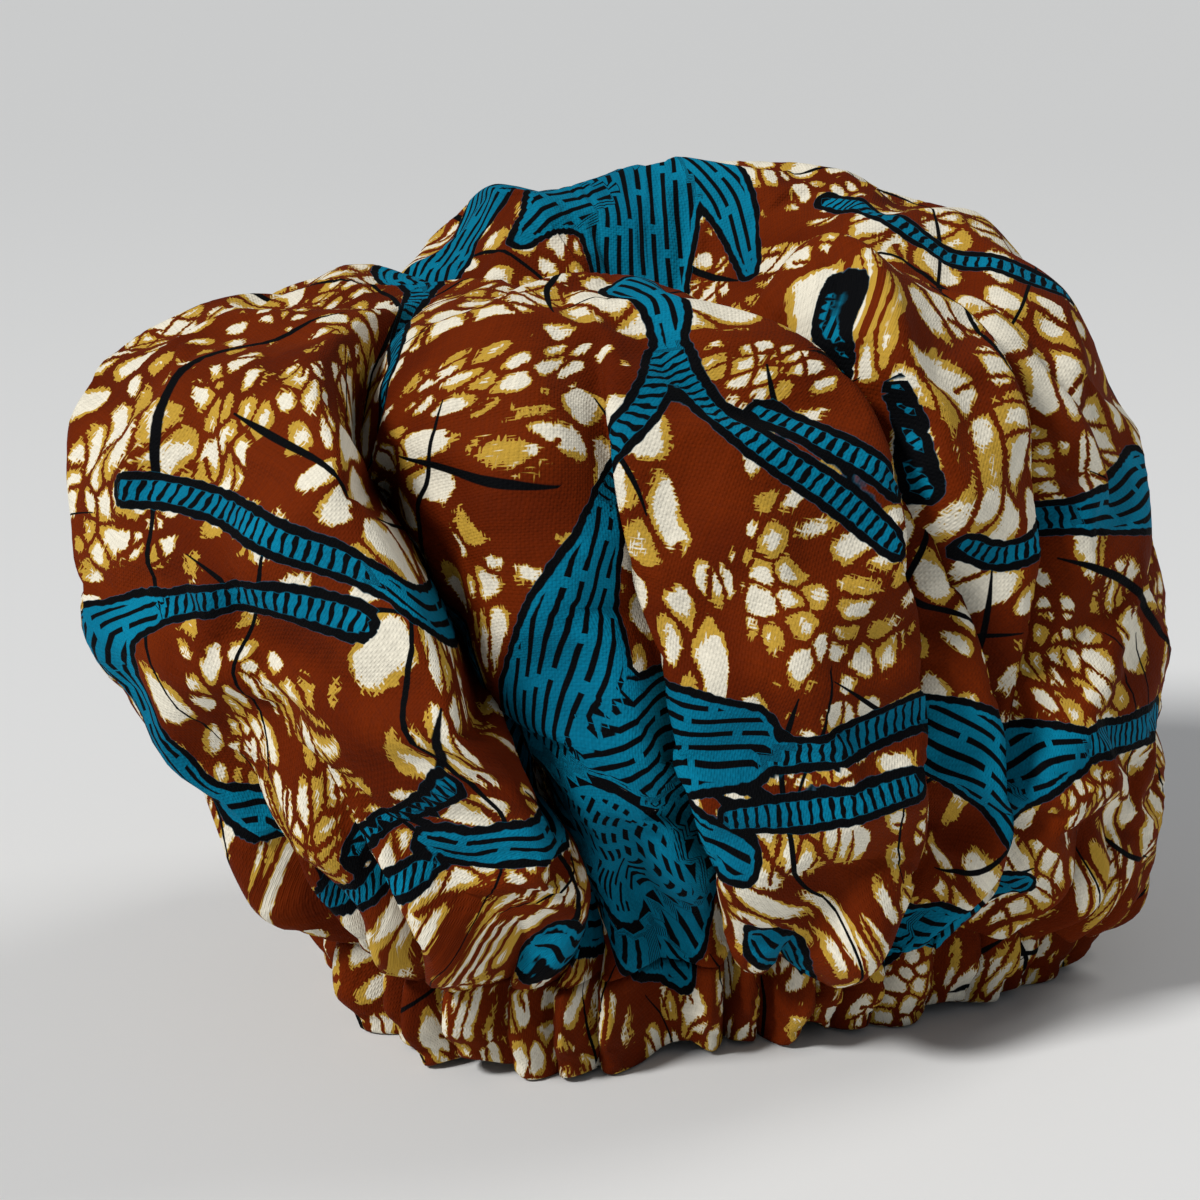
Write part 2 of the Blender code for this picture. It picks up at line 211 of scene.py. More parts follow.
def waves(azimuth: Array | float, *terms: tuple[float, float, float]) -> Array | float:
    """The sum of sines round the opening, each given by its size, its count of waves and its shift."""
    return sum(size * np.sin(count * azimuth + shift) for size, count, shift in terms)


def smoothed(field: Array, passes: int) -> Array:
    """A field on the sheet averaged by passes of a three-point mean, first round and then down the sheet."""
    for _ in range(passes):
        field = (np.roll(field, 1, axis=0) + 2 * field + np.roll(field, -1, axis=0)) / 4
        padded = np.concatenate([field[:, :1], field, field[:, -1:]], axis=1)
        field = (padded[:, :-2] + 2 * padded[:, 1:-1] + padded[:, 2:]) / 4
    return field


def section_value(name: str, azimuth: Array) -> Array:
    """A section's value at any azimuth, on a smooth closed curve through the evenly spaced sections.

    Args:
        name: the section's field.
        azimuth: angles round the opening, in radians.

    Returns:
        The field there: between two sections, a cubic whose slope at each is half the step between its
        neighbours.
    """
    values = np.array([getattr(section, name) for section in SECTIONS], dtype=float)
    place = np.mod(azimuth / TAU * len(values), len(values))
    row = np.floor(place).astype(int)
    t = place - row
    before, here, there, after = (values[(row + step) % len(values)] for step in (-1, 0, 1, 2))
    return here + 0.5 * t * (
        there - before
        + t * (2 * before - 5 * here + 4 * there - after + t * (3 * (here - there) + after - before))
    )


def quarter(turn: Array, fullness: Array) -> tuple[Array, Array]:
    """Side and rise of a quarter superellipse, from 0 at its top to 1 at its side.

    Args:
        turn: share of the quarter turn.
        fullness: the superellipse's power, 2 for a round.

    Returns:
        The reach sideways and the height, each a sine or cosine over the power mean of both.
    """
    across, upward = np.sin(turn * math.pi / 2), np.cos(turn * math.pi / 2)
    reach = (np.abs(across) ** fullness + np.abs(upward) ** fullness) ** (-1.0 / fullness)
    return reach * across, reach * upward


@dataclass(frozen=True)
class Gathering:
    """A family of soft ruffles on the crown, between two runs; its pitch and its start may be uneven."""

    count: int
    out: float
    uneven: tuple
    start: float
    starts: tuple
    grows: float
    end: float
    middle: float = 0.6

    def heights(self, azimuth: Array, run: Array) -> Array:
        """How far they stand out: the size of a sine less its middle, which grows in and dies out."""
        phase = self.count * azimuth + waves(azimuth, *self.uneven)
        low = self.start + waves(azimuth, *self.starts)
        grow = smooth_step(run, low, low + self.grows) * (1 - smooth_step(run, self.end, 1.0))
        return self.out * (np.abs(np.sin(phase / 2)) - self.middle) * grow


@dataclass(frozen=True)
class PuffedForm:
    """The bonnet's form as a function of azimuth and run, with its folds, gathers and hem."""

    opening: tuple[float, float] = (17.5 * MM, -0.5 * MM)
    hollow: tuple[float, float] = (7.5 * MM, 1.5 * MM)
    hollow_up: float = 170 * MM
    crest_run: float = 0.19
    belly_run: float = 0.68
    place_run: float = 0.35
    sag_low: float = 1.3
    neck_up: float = 28 * MM
    edge_wall: float = 2.2 * MM
    ruffles: int = 40
    ruffle_out: float = 12.5 * MM
    ruffle_uneven: tuple = ((3.0, 3, 1), (1.5, 7, 2), (0.8, 13, 0))
    ruffle_tops: tuple = ((0.28, 5, 1), (0.24, 17, 2.5))
    ruffle_power: float = 0.7
    ruffle_start: float = 0.77
    ruffle_starts: tuple = ((0.05, 9, 1), (0.04, 17, 0))
    ruffle_grows: float = 0.12
    gatherings: tuple[Gathering, ...] = (
        Gathering(15, 8.0 * MM, ((1.5, 2, 2), (0.9, 5, 0)), 0.62, (), 0.24, 0.90),
        Gathering(27, 4.2 * MM, ((2.2, 3, 0), (1.1, 8, 1)), 0.72, ((0.07, 6, 2), (0.05, 11, 0)), 0.14, 0.92),
    )
    hem_uneven: tuple = ((0.6, 11, 0.7), (0.5, 23, 2))
    hem_lift: float = 3.6 * MM
    hem_gap: float = 0.3 * MM
    fold_line: float = 0.72
    swell: float = 0.12
    inner_out: float = 4.5 * MM
    fold_round: float = 1.6 * MM
    inner_up: float = 22 * MM
    least_reach: float = 15 * MM
    lip_reach: float = 30 * MM
    crease_round: float = 0.05
    crease_fall: float = 1.4
    deep: float = 9.0
    deepest: float = 25.0
    sweep_run: float = 0.24
    sweep_fall: float = 2.2
    wrinkle_kinds: int = 9
    wrinkle_longest: float = 58 * MM
    wrinkle_shorter: float = 4.4 * MM
    wrinkle_high: float = 0.022

    def puffed(self, azimuth: Array, run: Array) -> Array:
        """The crown without its folds: hollow top, crest, shoulder, belly and underside.

        Args:
            azimuth: angles in radians.
            run: 0 at the hollow to 1 at the neck.

        Returns:
            Points: a half cosine rise to the crest, then a quarter superellipse down to the belly, then one
            in to the neck that sags by a squared sine.
        """
        crest_out, crest_up, belly_out, belly_up, sag, edge_out = (
            section_value(name, azimuth) * MM
            for name in ("crest_out", "crest_up", "belly_out", "belly_up", "sag", "edge_out")
        )
        neck_out = edge_out + self.edge_wall
        top = np.clip(run / self.crest_run, 0, 1)
        shoulder = np.clip((run - self.crest_run) / (self.belly_run - self.crest_run), 0, 1)
        under = np.clip((run - self.belly_run) / (1 - self.belly_run), 0, 1)
        top_up = self.hollow_up + (crest_up - self.hollow_up) * (1 - np.cos(math.pi * top)) / 2
        side, rise = quarter(shoulder, section_value("shoulder", azimuth))
        shoulder_out = crest_out + (belly_out - crest_out) * side
        shoulder_up = belly_up + (crest_up - belly_up) * rise
        side, rise = quarter(1 - under, section_value("under", azimuth))
        under_out = neck_out + (belly_out - neck_out) * side
        hang = sag * np.sin(math.pi * under**self.sag_low) ** 2
        under_up = belly_up - (belly_up - self.neck_up) * rise - hang
        on_top, on_shoulder = run <= self.crest_run, run <= self.belly_run
        out = np.where(on_top, crest_out * top, np.where(on_shoulder, shoulder_out, under_out))
        up = np.where(on_top, top_up, np.where(on_shoulder, shoulder_up, under_up))
        place = smooth_step(run, 0, self.place_run)
        middle_x = self.hollow[0] + (self.opening[0] - self.hollow[0]) * place
        middle_y = self.hollow[1] + (self.opening[1] - self.hollow[1]) * place
        return np.stack([middle_x + out * np.cos(azimuth), middle_y + out * np.sin(azimuth), up], axis=-1)

    def ruffle_phase(self, azimuth: Array) -> Array:
        """Turns of the small ruffles in radians, a little uneven in pitch as a gathered edge is."""
        uneven = waves(azimuth, *self.ruffle_uneven) - waves(0.0, *self.ruffle_uneven)
        return self.ruffles * azimuth + uneven

    def ruffle_columns(self, to_a_ruffle: int) -> Array:
        """Azimuths of the sheet's columns, evenly spaced in the ruffles' phase, with one in each pinch."""
        fine = np.linspace(0, TAU, 8001)
        phases = np.arange(to_a_ruffle * self.ruffles) * TAU / to_a_ruffle
        return np.interp(phases, self.ruffle_phase(fine), fine)

    def ruffle(self, azimuth: Array) -> Array:
        """Round tops between sharp pinches of 0: a power of a sine's size, each top of its own height."""
        height = 1 + waves(azimuth, *self.ruffle_tops)
        return height * np.abs(np.sin(self.ruffle_phase(azimuth) / 2)) ** self.ruffle_power

    def gathers(self, azimuth: Array, run: Array) -> Array:
        """How far the gathers stand out of the puffed form.

        Args:
            azimuth: where the thread meets the edge, in radians.
            run: 0 at the hollow to 1 at the neck.

        Returns:
            Heights: the hem's ruffles, which start at uneven runs, and the softer ruffles over them.
        """
        start = self.ruffle_start + waves(azimuth, *self.ruffle_starts)
        small = (self.ruffle(azimuth) - 0.25) * smooth_step(run, start, start + self.ruffle_grows)
        small = small + 0.25 * smooth_step(run, 0.88, 0.99)
        return self.ruffle_out * small + sum(family.heights(azimuth, run) for family in self.gatherings)

    def folds(self, azimuth: Array, run: Array, reach: Array) -> tuple[Array, Array, Array]:
        """The folds that run down the crown.

        Args:
            azimuth: angles in radians.
            run: 0 at the hollow to 1 at the neck.
            reach: distance from the opening's axis, in metres.

        Returns:
            Height over the puffed form, the lean of the lips round it, and how deep in a crease a point lies,
            from 0 to 1. A fold's trough falls off as an exponential of a rounded distance from its line.
        """
        height, lean_over, hidden = (np.zeros_like(run) for _ in range(3))
        for fold in FOLDS:
            t = (run - fold.run_start) / (fold.run_end - fold.run_start)
            line = np.radians(
                fold.az_start * (1 - t) * (1 - 2 * t)
                + fold.az_middle * 4 * t * (1 - t)
                + fold.az_end * t * (2 * t - 1)
            )
            across = (np.mod(azimuth - line + math.pi, TAU) - math.pi) * reach
            width = np.where(across < 0, fold.before, fold.after) * MM
            away = np.sqrt((across / width) ** 2 + self.crease_round) - math.sqrt(self.crease_round)
            along = smooth_step(t, 0, 0.3) * (1 - smooth_step(t, 0.8, 1.0))
            trough = np.exp(-self.crease_fall * away) * along
            height -= fold.depth * MM * trough
            lip = (along - trough) * np.exp(-((across / self.lip_reach) ** 2))
            lean_over += fold.lean * MM * np.where(across * fold.lean < 0, lip, 0)
            if fold.depth > self.deep:
                hidden = np.maximum(hidden, fold.depth / self.deepest * trough**3)
        return height, lean_over, hidden

    def outward(self, azimuth: Array, run: Array) -> Array:
        """Unit normal of the puffed form, turned level near the neck, where ruffles stand straight out."""
        step = 1e-3
        around = self.puffed(azimuth + step, run) - self.puffed(azimuth - step, run)
        lower, upper = np.minimum(run + step, 1), np.maximum(run - step, 0)
        down = self.puffed(azimuth, lower) - self.puffed(azimuth, upper)
        normal = np.cross(down, around)
        size = np.linalg.norm(normal, axis=-1, keepdims=True)
        normal = np.where(size > 1e-12, normal / np.maximum(size, 1e-12), (0.0, 0.0, 1.0))
        level = smooth_step(run, 0.86, 1.0)[..., None]
        straight = np.stack([np.cos(azimuth), np.sin(azimuth), np.zeros_like(azimuth)], axis=-1)
        normal = normal * (1 - level) + straight * level
        return normal / np.linalg.norm(normal, axis=-1, keepdims=True)

    def swept(self, column: Array, run: Array) -> Array:
        """The azimuth at a run of a thread that meets the edge at a column, swept round with the folds."""
        back = (1 - run) / (1 - self.sweep_run)
        return column + np.radians(section_value("swept", column)) * np.minimum(back, 1) ** self.sweep_fall

    def crown(self, column: Array, run: Array) -> tuple[Array, Array]:
        """The crown's outer face.

        Args:
            column: azimuths where the threads meet the edge, in radians.
            run: 0 at the hollow to 1 at the neck.

        Returns:
            Points of the puffed form moved out by the folds and gathers and round it by the lips' lean, and
            how deep in a crease each lies.
        """
        azimuth = self.swept(column, run)
        form = self.puffed(azimuth, run)
        reach = np.hypot(form[..., 0] - self.opening[0], form[..., 1] - self.opening[1])
        reach = np.maximum(reach, self.least_reach)
        height, lean, hidden = self.folds(azimuth, run, reach)
        height = height + self.gathers(column, run) + self.wrinkles(form, run)
        around = np.stack([-np.sin(azimuth), np.cos(azimuth), np.zeros_like(azimuth)], axis=-1)
        return form + self.outward(azimuth, run) * height[..., None] + around * lean[..., None], hidden

    def wrinkles(self, form: Array, run: Array) -> Array:
        """Small crumples all over: sums of sines of the place in space, sharpened to ridges by their size.

        Args:
            form: points of the puffed form.
            run: 0 at the hollow to 1 at the neck.

        Returns:
            Heights. Each crumple has its own way, length and phase, and a longer sine bends its lines.
        """
        high = np.zeros(form.shape[:-1])
        for number in range(self.wrinkle_kinds):
            turn = 2.4 * number + 0.5
            way = np.array([math.cos(turn), math.sin(turn), 0.9 * math.sin(1.7 * number + 0.4)])
            length = self.wrinkle_longest - self.wrinkle_shorter * number
            bend = 1.1 * np.sin(form @ (np.roll(way, 1) * TAU / (2.3 * length)) + number)
            phase = form @ (way / np.linalg.norm(way) * TAU / length) + bend + 1.9 * number
            high += (0.64 - np.abs(np.sin(phase / 2))) * length * self.wrinkle_high
        return high * smooth_step(run, 0.02, 0.16) * (1 - smooth_step(run, 0.9, 1.0))

    def hem(self, azimuth: Array, place: Array) -> Array:
        """The casing from the neck down its outside, round the fold and up to the turned edge inside.

        Args:
            azimuth: angles in radians.
            place: 0 at the neck, 1 at the lower end of the outer wall, 2 at that of the inner, 3 at its edge.

        Returns:
            Points: each wall swells between the pinches, and at the fold both lie on one waved line, half a
            small circle apart.
        """
        middle = section_value("edge_out", azimuth) * MM
        wave = self.ruffle(azimuth)
        uneven = np.clip(0.5 + waves(azimuth, *self.hem_uneven), 0, 1.4)
        low = self.hem_gap + self.hem_lift * uneven * (0.4 + 0.6 * wave) + self.fold_round
        down, turn, back = (np.clip(place - start, 0, 1) for start in range(3))
        line = middle + self.fold_line * self.ruffle_out * wave
        swell = 1.0 + self.swell * np.sin(math.pi * down**0.8)
        outer = middle + self.edge_wall + self.ruffle_out * wave * swell
        tuck = smooth_step(down, 0.55, 1.0)
        outer = outer * (1 - tuck) + (line + self.fold_round) * tuck
        inner = middle - self.edge_wall - self.inner_out * wave * np.sin(math.pi * np.clip(back, 0, 0.75))
        tuck = 1 - smooth_step(back, 0.0, 0.45)
        inner = inner * (1 - tuck) + (line - self.fold_round) * tuck
        bend = math.pi * turn
        out = np.where(place <= 1, outer, np.where(place <= 2, line + self.fold_round * np.cos(bend), inner))
        up = np.where(
            place <= 1,
            self.neck_up + (low - self.neck_up) * down,
            np.where(place <= 2, low - self.fold_round * np.sin(bend), low + (self.inner_up - low) * back),
        )
        return np.stack(
            [self.opening[0] + out * np.cos(azimuth), self.opening[1] + out * np.sin(azimuth), up], axis=-1
        )


@dataclass(frozen=True)
class Settling:
    """A short cloth simulation: the small folds of a sheet that is a little too large for its form."""

    frames: int = 8
    grow: float = 0.04
    gathered_grow: float = 0.05
    hold: float = 0.16
    stiffness: float = 20.0
    shear: float = 5.0
    bending: float = 20.0
    damping: float = 5.0
    air: float = 2.0
    mass: float = 0.2
    gravity: float = 0.05
    quality: int = 5
    drift_left: float = 0.1
    drift_passes: int = 160
    floor_gap: float = 0.3 * MM

    def settle(self, points: Array, held: Array, gathered: Array) -> Array:
        """The sheet's points once the cloth has settled.

        Args:
            points: columns by rows of points; row 0 is the apex.
            held: how firmly each point is held to the form, from 0 to 1.
            gathered: from 0 to 1, how near the gathered hem each row is, where more cloth has to fit.

        Returns:
            The points moved by the simulation, with most of the slow drift taken back so that the form stays.
        """
        count, rows = points.shape[0], points.shape[1] - 1
        vertices, faces = closed_cap(points)
        piece = new_piece("settling", vertices, faces, None)
        for name, shares in (("held", held), ("gathered", np.broadcast_to(gathered, held.shape))):
            group = piece.vertex_groups.new(name=name)
            weights = np.round(closed_cap(shares[..., None])[0][:, 0], 2)
            for weight in np.unique(weights):
                group.add(np.flatnonzero(weights == weight).tolist(), float(weight), "REPLACE")
        cloth = piece.modifiers.new("cloth", "CLOTH")
        made = cloth.settings
        made.quality = self.quality
        made.mass = self.mass
        made.tension_stiffness = made.compression_stiffness = self.stiffness
        made.shear_stiffness = self.shear
        made.bending_model = "ANGULAR"
        made.bending_stiffness = self.bending
        made.tension_damping = made.compression_damping = made.shear_damping = self.damping
        made.air_damping = self.air
        made.vertex_group_mass = "held"
        made.vertex_group_shrink = "gathered"
        made.shrink_min, made.shrink_max = -self.grow, -self.gathered_grow
        made.effector_weights.gravity = self.gravity
        cloth.collision_settings.use_collision = False
        cloth.point_cache.frame_start, cloth.point_cache.frame_end = 1, self.frames
        for frame_number in range(1, self.frames + 1):
            bpy.context.scene.frame_set(frame_number)
        settled = piece.evaluated_get(bpy.context.evaluated_depsgraph_get())
        found = np.empty(len(vertices) * 3, dtype=np.float32)
        settled.data.vertices.foreach_get("co", found)
        move = (found.reshape(-1, 3) - vertices).astype(float)
        bpy.data.objects.remove(piece)
        bpy.context.scene.frame_set(1)
        apex = np.repeat(move[None, -1:], count, axis=0)
        moved = np.concatenate([apex, move[:-1].reshape(count, rows, 3)], axis=1)
        moved -= (1 - self.drift_left) * smoothed(moved, self.drift_passes)
        moved[:, 0] = moved[:, 0].mean(axis=0)
        log.info("cloth settled by %.1f mm on average", 1000 * np.linalg.norm(moved, axis=-1).mean())
        settled = points + moved * (1 - smooth_step(held, 0.6, 1.0))[..., None]
        settled[..., 2] = np.maximum(settled[..., 2], np.minimum(points[..., 2], self.floor_gap))
        return settled


def sheet_quads(columns: int, rows: int) -> Array:
    """Outward quads of a sheet that closes round, with its vertices numbered down each column in turn."""
    number = np.arange(columns * rows).reshape(columns, rows)
    after = np.roll(number, -1, axis=0)
    return np.stack([number[:, :-1], number[:, 1:], after[:, 1:], after[:, :-1]], axis=-1).reshape(-1, 4)


def closed_cap(points: Array) -> tuple[Array, list[Array]]:
    """Vertices and faces, outward, of a sheet that starts at an apex.

    Args:
        points: columns round by rows down; row 0 is the apex in every column.

    Returns:
        The vertices, the apex last, then quads between the rows and triangles round the apex.
    """
    count, rows = points.shape[0], points.shape[1] - 1
    vertices = np.concatenate([points[:, 1:].reshape(-1, points.shape[-1]), points[:1, 0]])
    upper = np.arange(count) * rows
    fan = np.stack([np.full(count, count * rows), upper, np.roll(upper, -1)], axis=-1)
    return vertices, [sheet_quads(count, rows), fan]


@dataclass
class ClothSheet:
    """The whole cloth as one sheet of points: columns round it, rows from the hollow to the turned edge."""

    form: PuffedForm
    settling: Settling
    to_a_ruffle: int = 10
    crown_rows: int = 119
    hem_rows: tuple[int, int, int] = (14, 4, 11)
    hidden_share: float = 0.72
    hidden_most: float = 8 * MM
    sweeps: int = 900
    carried_on: float = 0.9
    put_right: float = 0.16
    smooth_every: int = 3
    sweep_passes: int = 4
    cut_passes: int = 24

    def __post_init__(self) -> None:
        """Works out the sheet's points and its flat cut."""
        self.columns = self.form.ruffle_columns(self.to_a_ruffle)
        runs = np.linspace(0, 1, self.crown_rows + 1) ** 0.97
        column, run = np.meshgrid(self.columns, runs, indexing="ij")
        crown, hidden = self.form.crown(column, run)
        places = np.concatenate([
            start + np.linspace(0, 1, rows + 1)[1:] for start, rows in enumerate(self.hem_rows)
        ])
        column, place = np.meshgrid(self.columns, places, indexing="ij")
        hem = self.form.hem(column, place)
        self.runs = runs
        self.points = np.concatenate([crown, hem], axis=1)
        self.hidden = np.concatenate([hidden, np.zeros(hem.shape[:2])], axis=1)
        self.cut = self.unroll()
        gathered = np.concatenate([smooth_step(runs, 0.72, 0.95), np.full(len(places), 0.6)])
        self.points = self.settling.settle(self.points, self.held(places), gathered)

    def held(self, places: Array) -> Array:
        """How firmly the settling holds each point: fully at pinches, at the fold and inside the casing."""
        pinch = 1 - np.abs(np.sin(self.form.ruffle_phase(self.columns) / 2))[:, None]
        by_row = np.concatenate([smooth_step(self.runs, 0.78, 0.96), np.ones_like(places)])
        inside = np.concatenate([np.zeros_like(self.runs), smooth_step(places, 0.75, 1.3)])
        firm = by_row * (0.25 + 0.75 * smooth_step(pinch, 0.1, 0.7))
        free = self.settling.hold + (1 - self.settling.hold) * firm
        return np.maximum(free, inside)

    def lengths(self) -> tuple[Array, Array, Array]:
        """Real lengths of the sheet's threads.

        Returns:
            Lengths round the sheet, with what a deep crease or a pinch hides added, lengths down it, and the
            cosine between the two.
        """
        around = np.roll(self.points, -1, axis=0) - self.points
        down = np.diff(self.points, axis=1)
        around_long = np.linalg.norm(around, axis=-1)
        down_long = np.linalg.norm(down, axis=-1)
        dot = (around[:, :-1] * down).sum(axis=-1)
        cosine = dot / np.maximum(around_long[:, :-1] * down_long, 1e-12)
        pinch = np.abs(np.cos(self.form.ruffle_phase(self.columns) / 2)) ** 8
        rows = np.arange(self.points.shape[1])
        near_hem = smooth_step(rows, self.crown_rows * 0.9, self.crown_rows)
        hides = self.hidden + pinch[:, None] * near_hem[None, :]
        reach = np.concatenate([[0.0], np.cumsum(down_long.mean(axis=0))])
        short = np.clip(self.hidden_share * TAU * reach - around_long.sum(axis=0), 0, None)
        share = hides / np.maximum(hides.sum(axis=0), 1e-9)
        hidden_long = np.minimum(share * short, self.hidden_most)
        return around_long + hidden_long, down_long, np.clip(cosine, -0.95, 0.95)

    def unroll(self) -> Array:
        """The sheet's flat cut.

        Returns:
            Flat places in metres. They start as a polar map, whose radius is the length down, half each
            column's own and half the mean, and whose angle is the share of the length round. Each sweep then
            moves both ends of every thread and diagonal towards its real length, with the move before
            carried on as momentum. Away from the hem, what the sweeps add to the polar map is kept smooth.
        """
        around, down, cosine = self.lengths()
        rows = np.arange(self.points.shape[1])
        radius = np.concatenate([np.zeros((len(down), 1)), np.cumsum(down, axis=1)], axis=1)
        radius = (radius + radius.mean(axis=0)) / 2
        angle = np.concatenate([np.zeros((1, around.shape[1])), np.cumsum(around, axis=0)[:-1]], axis=0)
        angle = angle / np.maximum(around.sum(axis=0), 1e-9) * TAU
        angle[:, 0] = angle[:, 1]
        polar = smoothed(np.stack([radius * np.cos(angle), radius * np.sin(angle)], axis=-1), self.cut_passes)
        sides = around[:, :-1] ** 2 + down**2
        slant = 2 * around[:, :-1] * down * cosine
        every, upper, lower = slice(None), slice(None, -1), slice(1, None)
        threads = (
            (every, every, 1, around),
            (upper, lower, 0, down),
            (upper, lower, 1, np.sqrt(sides + slant)),
            (lower, upper, 1, np.sqrt(sides - slant)),
        )
        near_hem = smooth_step(rows, self.crown_rows * 0.84, self.crown_rows * 0.97)[None, :, None]
        flat, move = polar.copy(), np.zeros_like(polar)
        for number in range(self.sweeps):
            step = np.zeros_like(flat)
            column = (flat, np.roll(flat, -1, axis=0))
            for start, end, further, length in threads:
                pull = self.pull(flat[:, start], column[further][:, end], length)
                step[:, start] += pull
                step[:, end] -= np.roll(pull, further, axis=0)
            move = self.carried_on * move + self.put_right * step
            flat = flat + move
            if number % self.smooth_every == 0:
                even = polar + smoothed(flat - polar, self.sweep_passes)
                flat = even * (1 - near_hem) + flat * near_hem
            flat[:, 0] = flat[:, 0].mean(axis=0)
        even = polar + smoothed(flat - polar, self.cut_passes)
        return even * (1 - near_hem) + smoothed(flat, 2) * near_hem - flat[:, 0].mean(axis=0)

    @staticmethod
    def pull(start: Array, end: Array, length: Array) -> Array:
        """The move along a thread that puts half its error in length right at its start."""
        way = end - start
        now = np.maximum(np.linalg.norm(way, axis=-1), 1e-9)
        return way * (0.5 * (now - length) / now)[..., None]

    def flat_place(self, azimuth: float, run: float) -> Array:
        """The place on the flat cut of an azimuth in degrees and a run on the crown."""
        row = np.interp(run, self.runs, np.arange(len(self.runs)))
        at = self.form.swept(self.columns, np.full_like(self.columns, run))
        turned = np.mod(np.radians(azimuth) - at[0], TAU)
        at = np.append(at - at[0], TAU)
        column = np.interp(turned, at, np.arange(len(at)))
        low_row, low_column = int(row), int(column)
        high_row = min(low_row + 1, self.cut.shape[1] - 1)
        count = len(self.columns)
        first, second = self.cut[low_column % count], self.cut[(low_column + 1) % count]
        across = column - low_column
        upper = first[low_row] * (1 - across) + second[low_row] * across
        lower = first[high_row] * (1 - across) + second[high_row] * across
        return upper * (1 - (row - low_row)) + lower * (row - low_row)


@dataclass
class PrintLayout:
    """The drawn shapes of the print, laid on the flat cut."""

    sheet: ClothSheet
    step: float = 1.5 * MM
    far: float = 20.0
    seed_margin: float = 1.2

    def all_strokes(self) -> list[Stroke]:
        """The front's shapes, and its middle ones again at each turn round the back and sides."""
        strokes = list(FRONT_PRINT)
        for number, turn in enumerate(REPEAT_TURNS):
            for stroke in FRONT_PRINT:
                azimuths = [place[0] for place in stroke.places]
                least_run = min(place[1] for place in stroke.places)
                inside = REPEAT_FROM <= min(azimuths) and max(azimuths) <= REPEAT_TO
                if inside and least_run >= REPEAT_LEAST_RUN:
                    places = tuple((place[0] + turn, place[1]) for place in stroke.places)
                    name = f"{stroke.name}_{number + 2}"
                    strokes.append(Stroke(name, stroke.motif, places, stroke.start_wide, stroke.end_wide))
        return strokes

    def line(self, stroke: Stroke) -> tuple[Array, Array]:
        """A stroke's line on the flat cut.

        Args:
            stroke: the drawn shape.

        Returns:
            Points a small step apart on a Catmull-Rom curve through its places, and the length up to each.
        """
        knots = np.array([self.sheet.flat_place(*place) for place in stroke.places])
        knots = np.concatenate([[2 * knots[0] - knots[1]], knots, [2 * knots[-1] - knots[-2]]])
        pieces = []
        for k in range(1, len(knots) - 2):
            a, b, c, d = knots[k - 1 : k + 3]
            count = max(int(np.linalg.norm(c - b) / self.step), 2)
            t = np.linspace(0, 1, count, endpoint=False)[:, None]
            pieces.append(
                b + 0.5 * t * (c - a + t * (2 * a - 5 * b + 4 * c - d + t * (3 * (b - c) + d - a)))
            )
        points = np.concatenate([*pieces, knots[-2:-1]])
        length = np.concatenate([[0], np.cumsum(np.linalg.norm(np.diff(points, axis=0), axis=-1))])
        return points, length

    def round_shape(self, stroke: Stroke, flat: Array) -> tuple[Array, Array, Array]:
        """Edge, along and across, in mm, of a round shape: its hatching's lanes run out from its middle."""
        away = (flat - self.sheet.flat_place(*stroke.places[0])) / MM
        gap = np.linalg.norm(away, axis=-1)
        around = np.arctan2(away[:, 1], away[:, 0]) * stroke.end_wide / 2
        return stroke.start_wide / 2 - gap, gap, around

    def long_shape(self, stroke: Stroke, flat: Array) -> tuple[Array, Array, Array]:
        """Edge, along and across, in mm, of a shape that is drawn along a line and rounded at its ends."""
        points, length = self.line(stroke)
        gap = np.linalg.norm(flat[:, None, :] - points[None, :, :], axis=-1)
        nearest = gap.argmin(axis=1)
        tangent = np.gradient(points, axis=0)
        tangent /= np.linalg.norm(tangent, axis=-1, keepdims=True)
        away = flat - points[nearest]
        side = tangent[nearest, 0] * away[:, 1] - tangent[nearest, 1] * away[:, 0]
        on = length[nearest] + (tangent[nearest] * away).sum(axis=-1)
        share = length[nearest] / length[-1]
        half = (stroke.start_wide + (stroke.end_wide - stroke.start_wide) * share) / 2
        past = np.clip(np.maximum(-on, on - length[-1]), 0, None)
        return half - np.hypot(side, past) / MM, on / MM, side / MM

    def draw(self) -> Array:
        """Where each point of the sheet lies in the nearest drawn shape.

        Returns:
            For each point, in millimetres, how far inside the shape's outline it is and its place along and
            across the shape's line, then the motif's number. A seed lies over the other shapes.
        """
        flat = self.sheet.cut.reshape(-1, 2)
        drawn = np.zeros((len(flat), 4))
        drawn[:, 0] = -self.far
        for stroke in sorted(self.all_strokes(), key=lambda shape: shape.motif.value):
            knots = np.array([self.sheet.flat_place(*place) for place in stroke.places])
            widest = (max(stroke.start_wide, stroke.end_wide) / 2 + self.far) * MM
            low, high = knots.min(axis=0) - widest, knots.max(axis=0) + widest
            near = np.flatnonzero(((flat > low) & (flat < high)).all(axis=1))
            if not len(near):
                continue
            shape = self.round_shape if len(stroke.places) == 1 else self.long_shape
            inside, along, across = shape(stroke, flat[near])
            better = inside > drawn[near, 0]
            if stroke.motif is Motif.SEED:
                better |= inside > -self.seed_margin
            kind = np.full(len(near), stroke.motif.value)
            drawn[near[better]] = np.stack([inside, along, across, kind], axis=-1)[better]
        return drawn.reshape(*self.sheet.cut.shape[:2], 4)


FLOAT, VECTOR = "NodeSocketFloat", "NodeSocketVector"


def operator(kind: str, swapped: bool = False) -> Callable:
    """A method that lays a Math node of a kind between a signal and another signal or a number."""

    def lay(self: "Signal", other: "Signal | float" = 0.0) -> "Signal":
        """Lays the node."""
        return self.wires.math(kind, *((other, self) if swapped else (self, other)))

    return lay


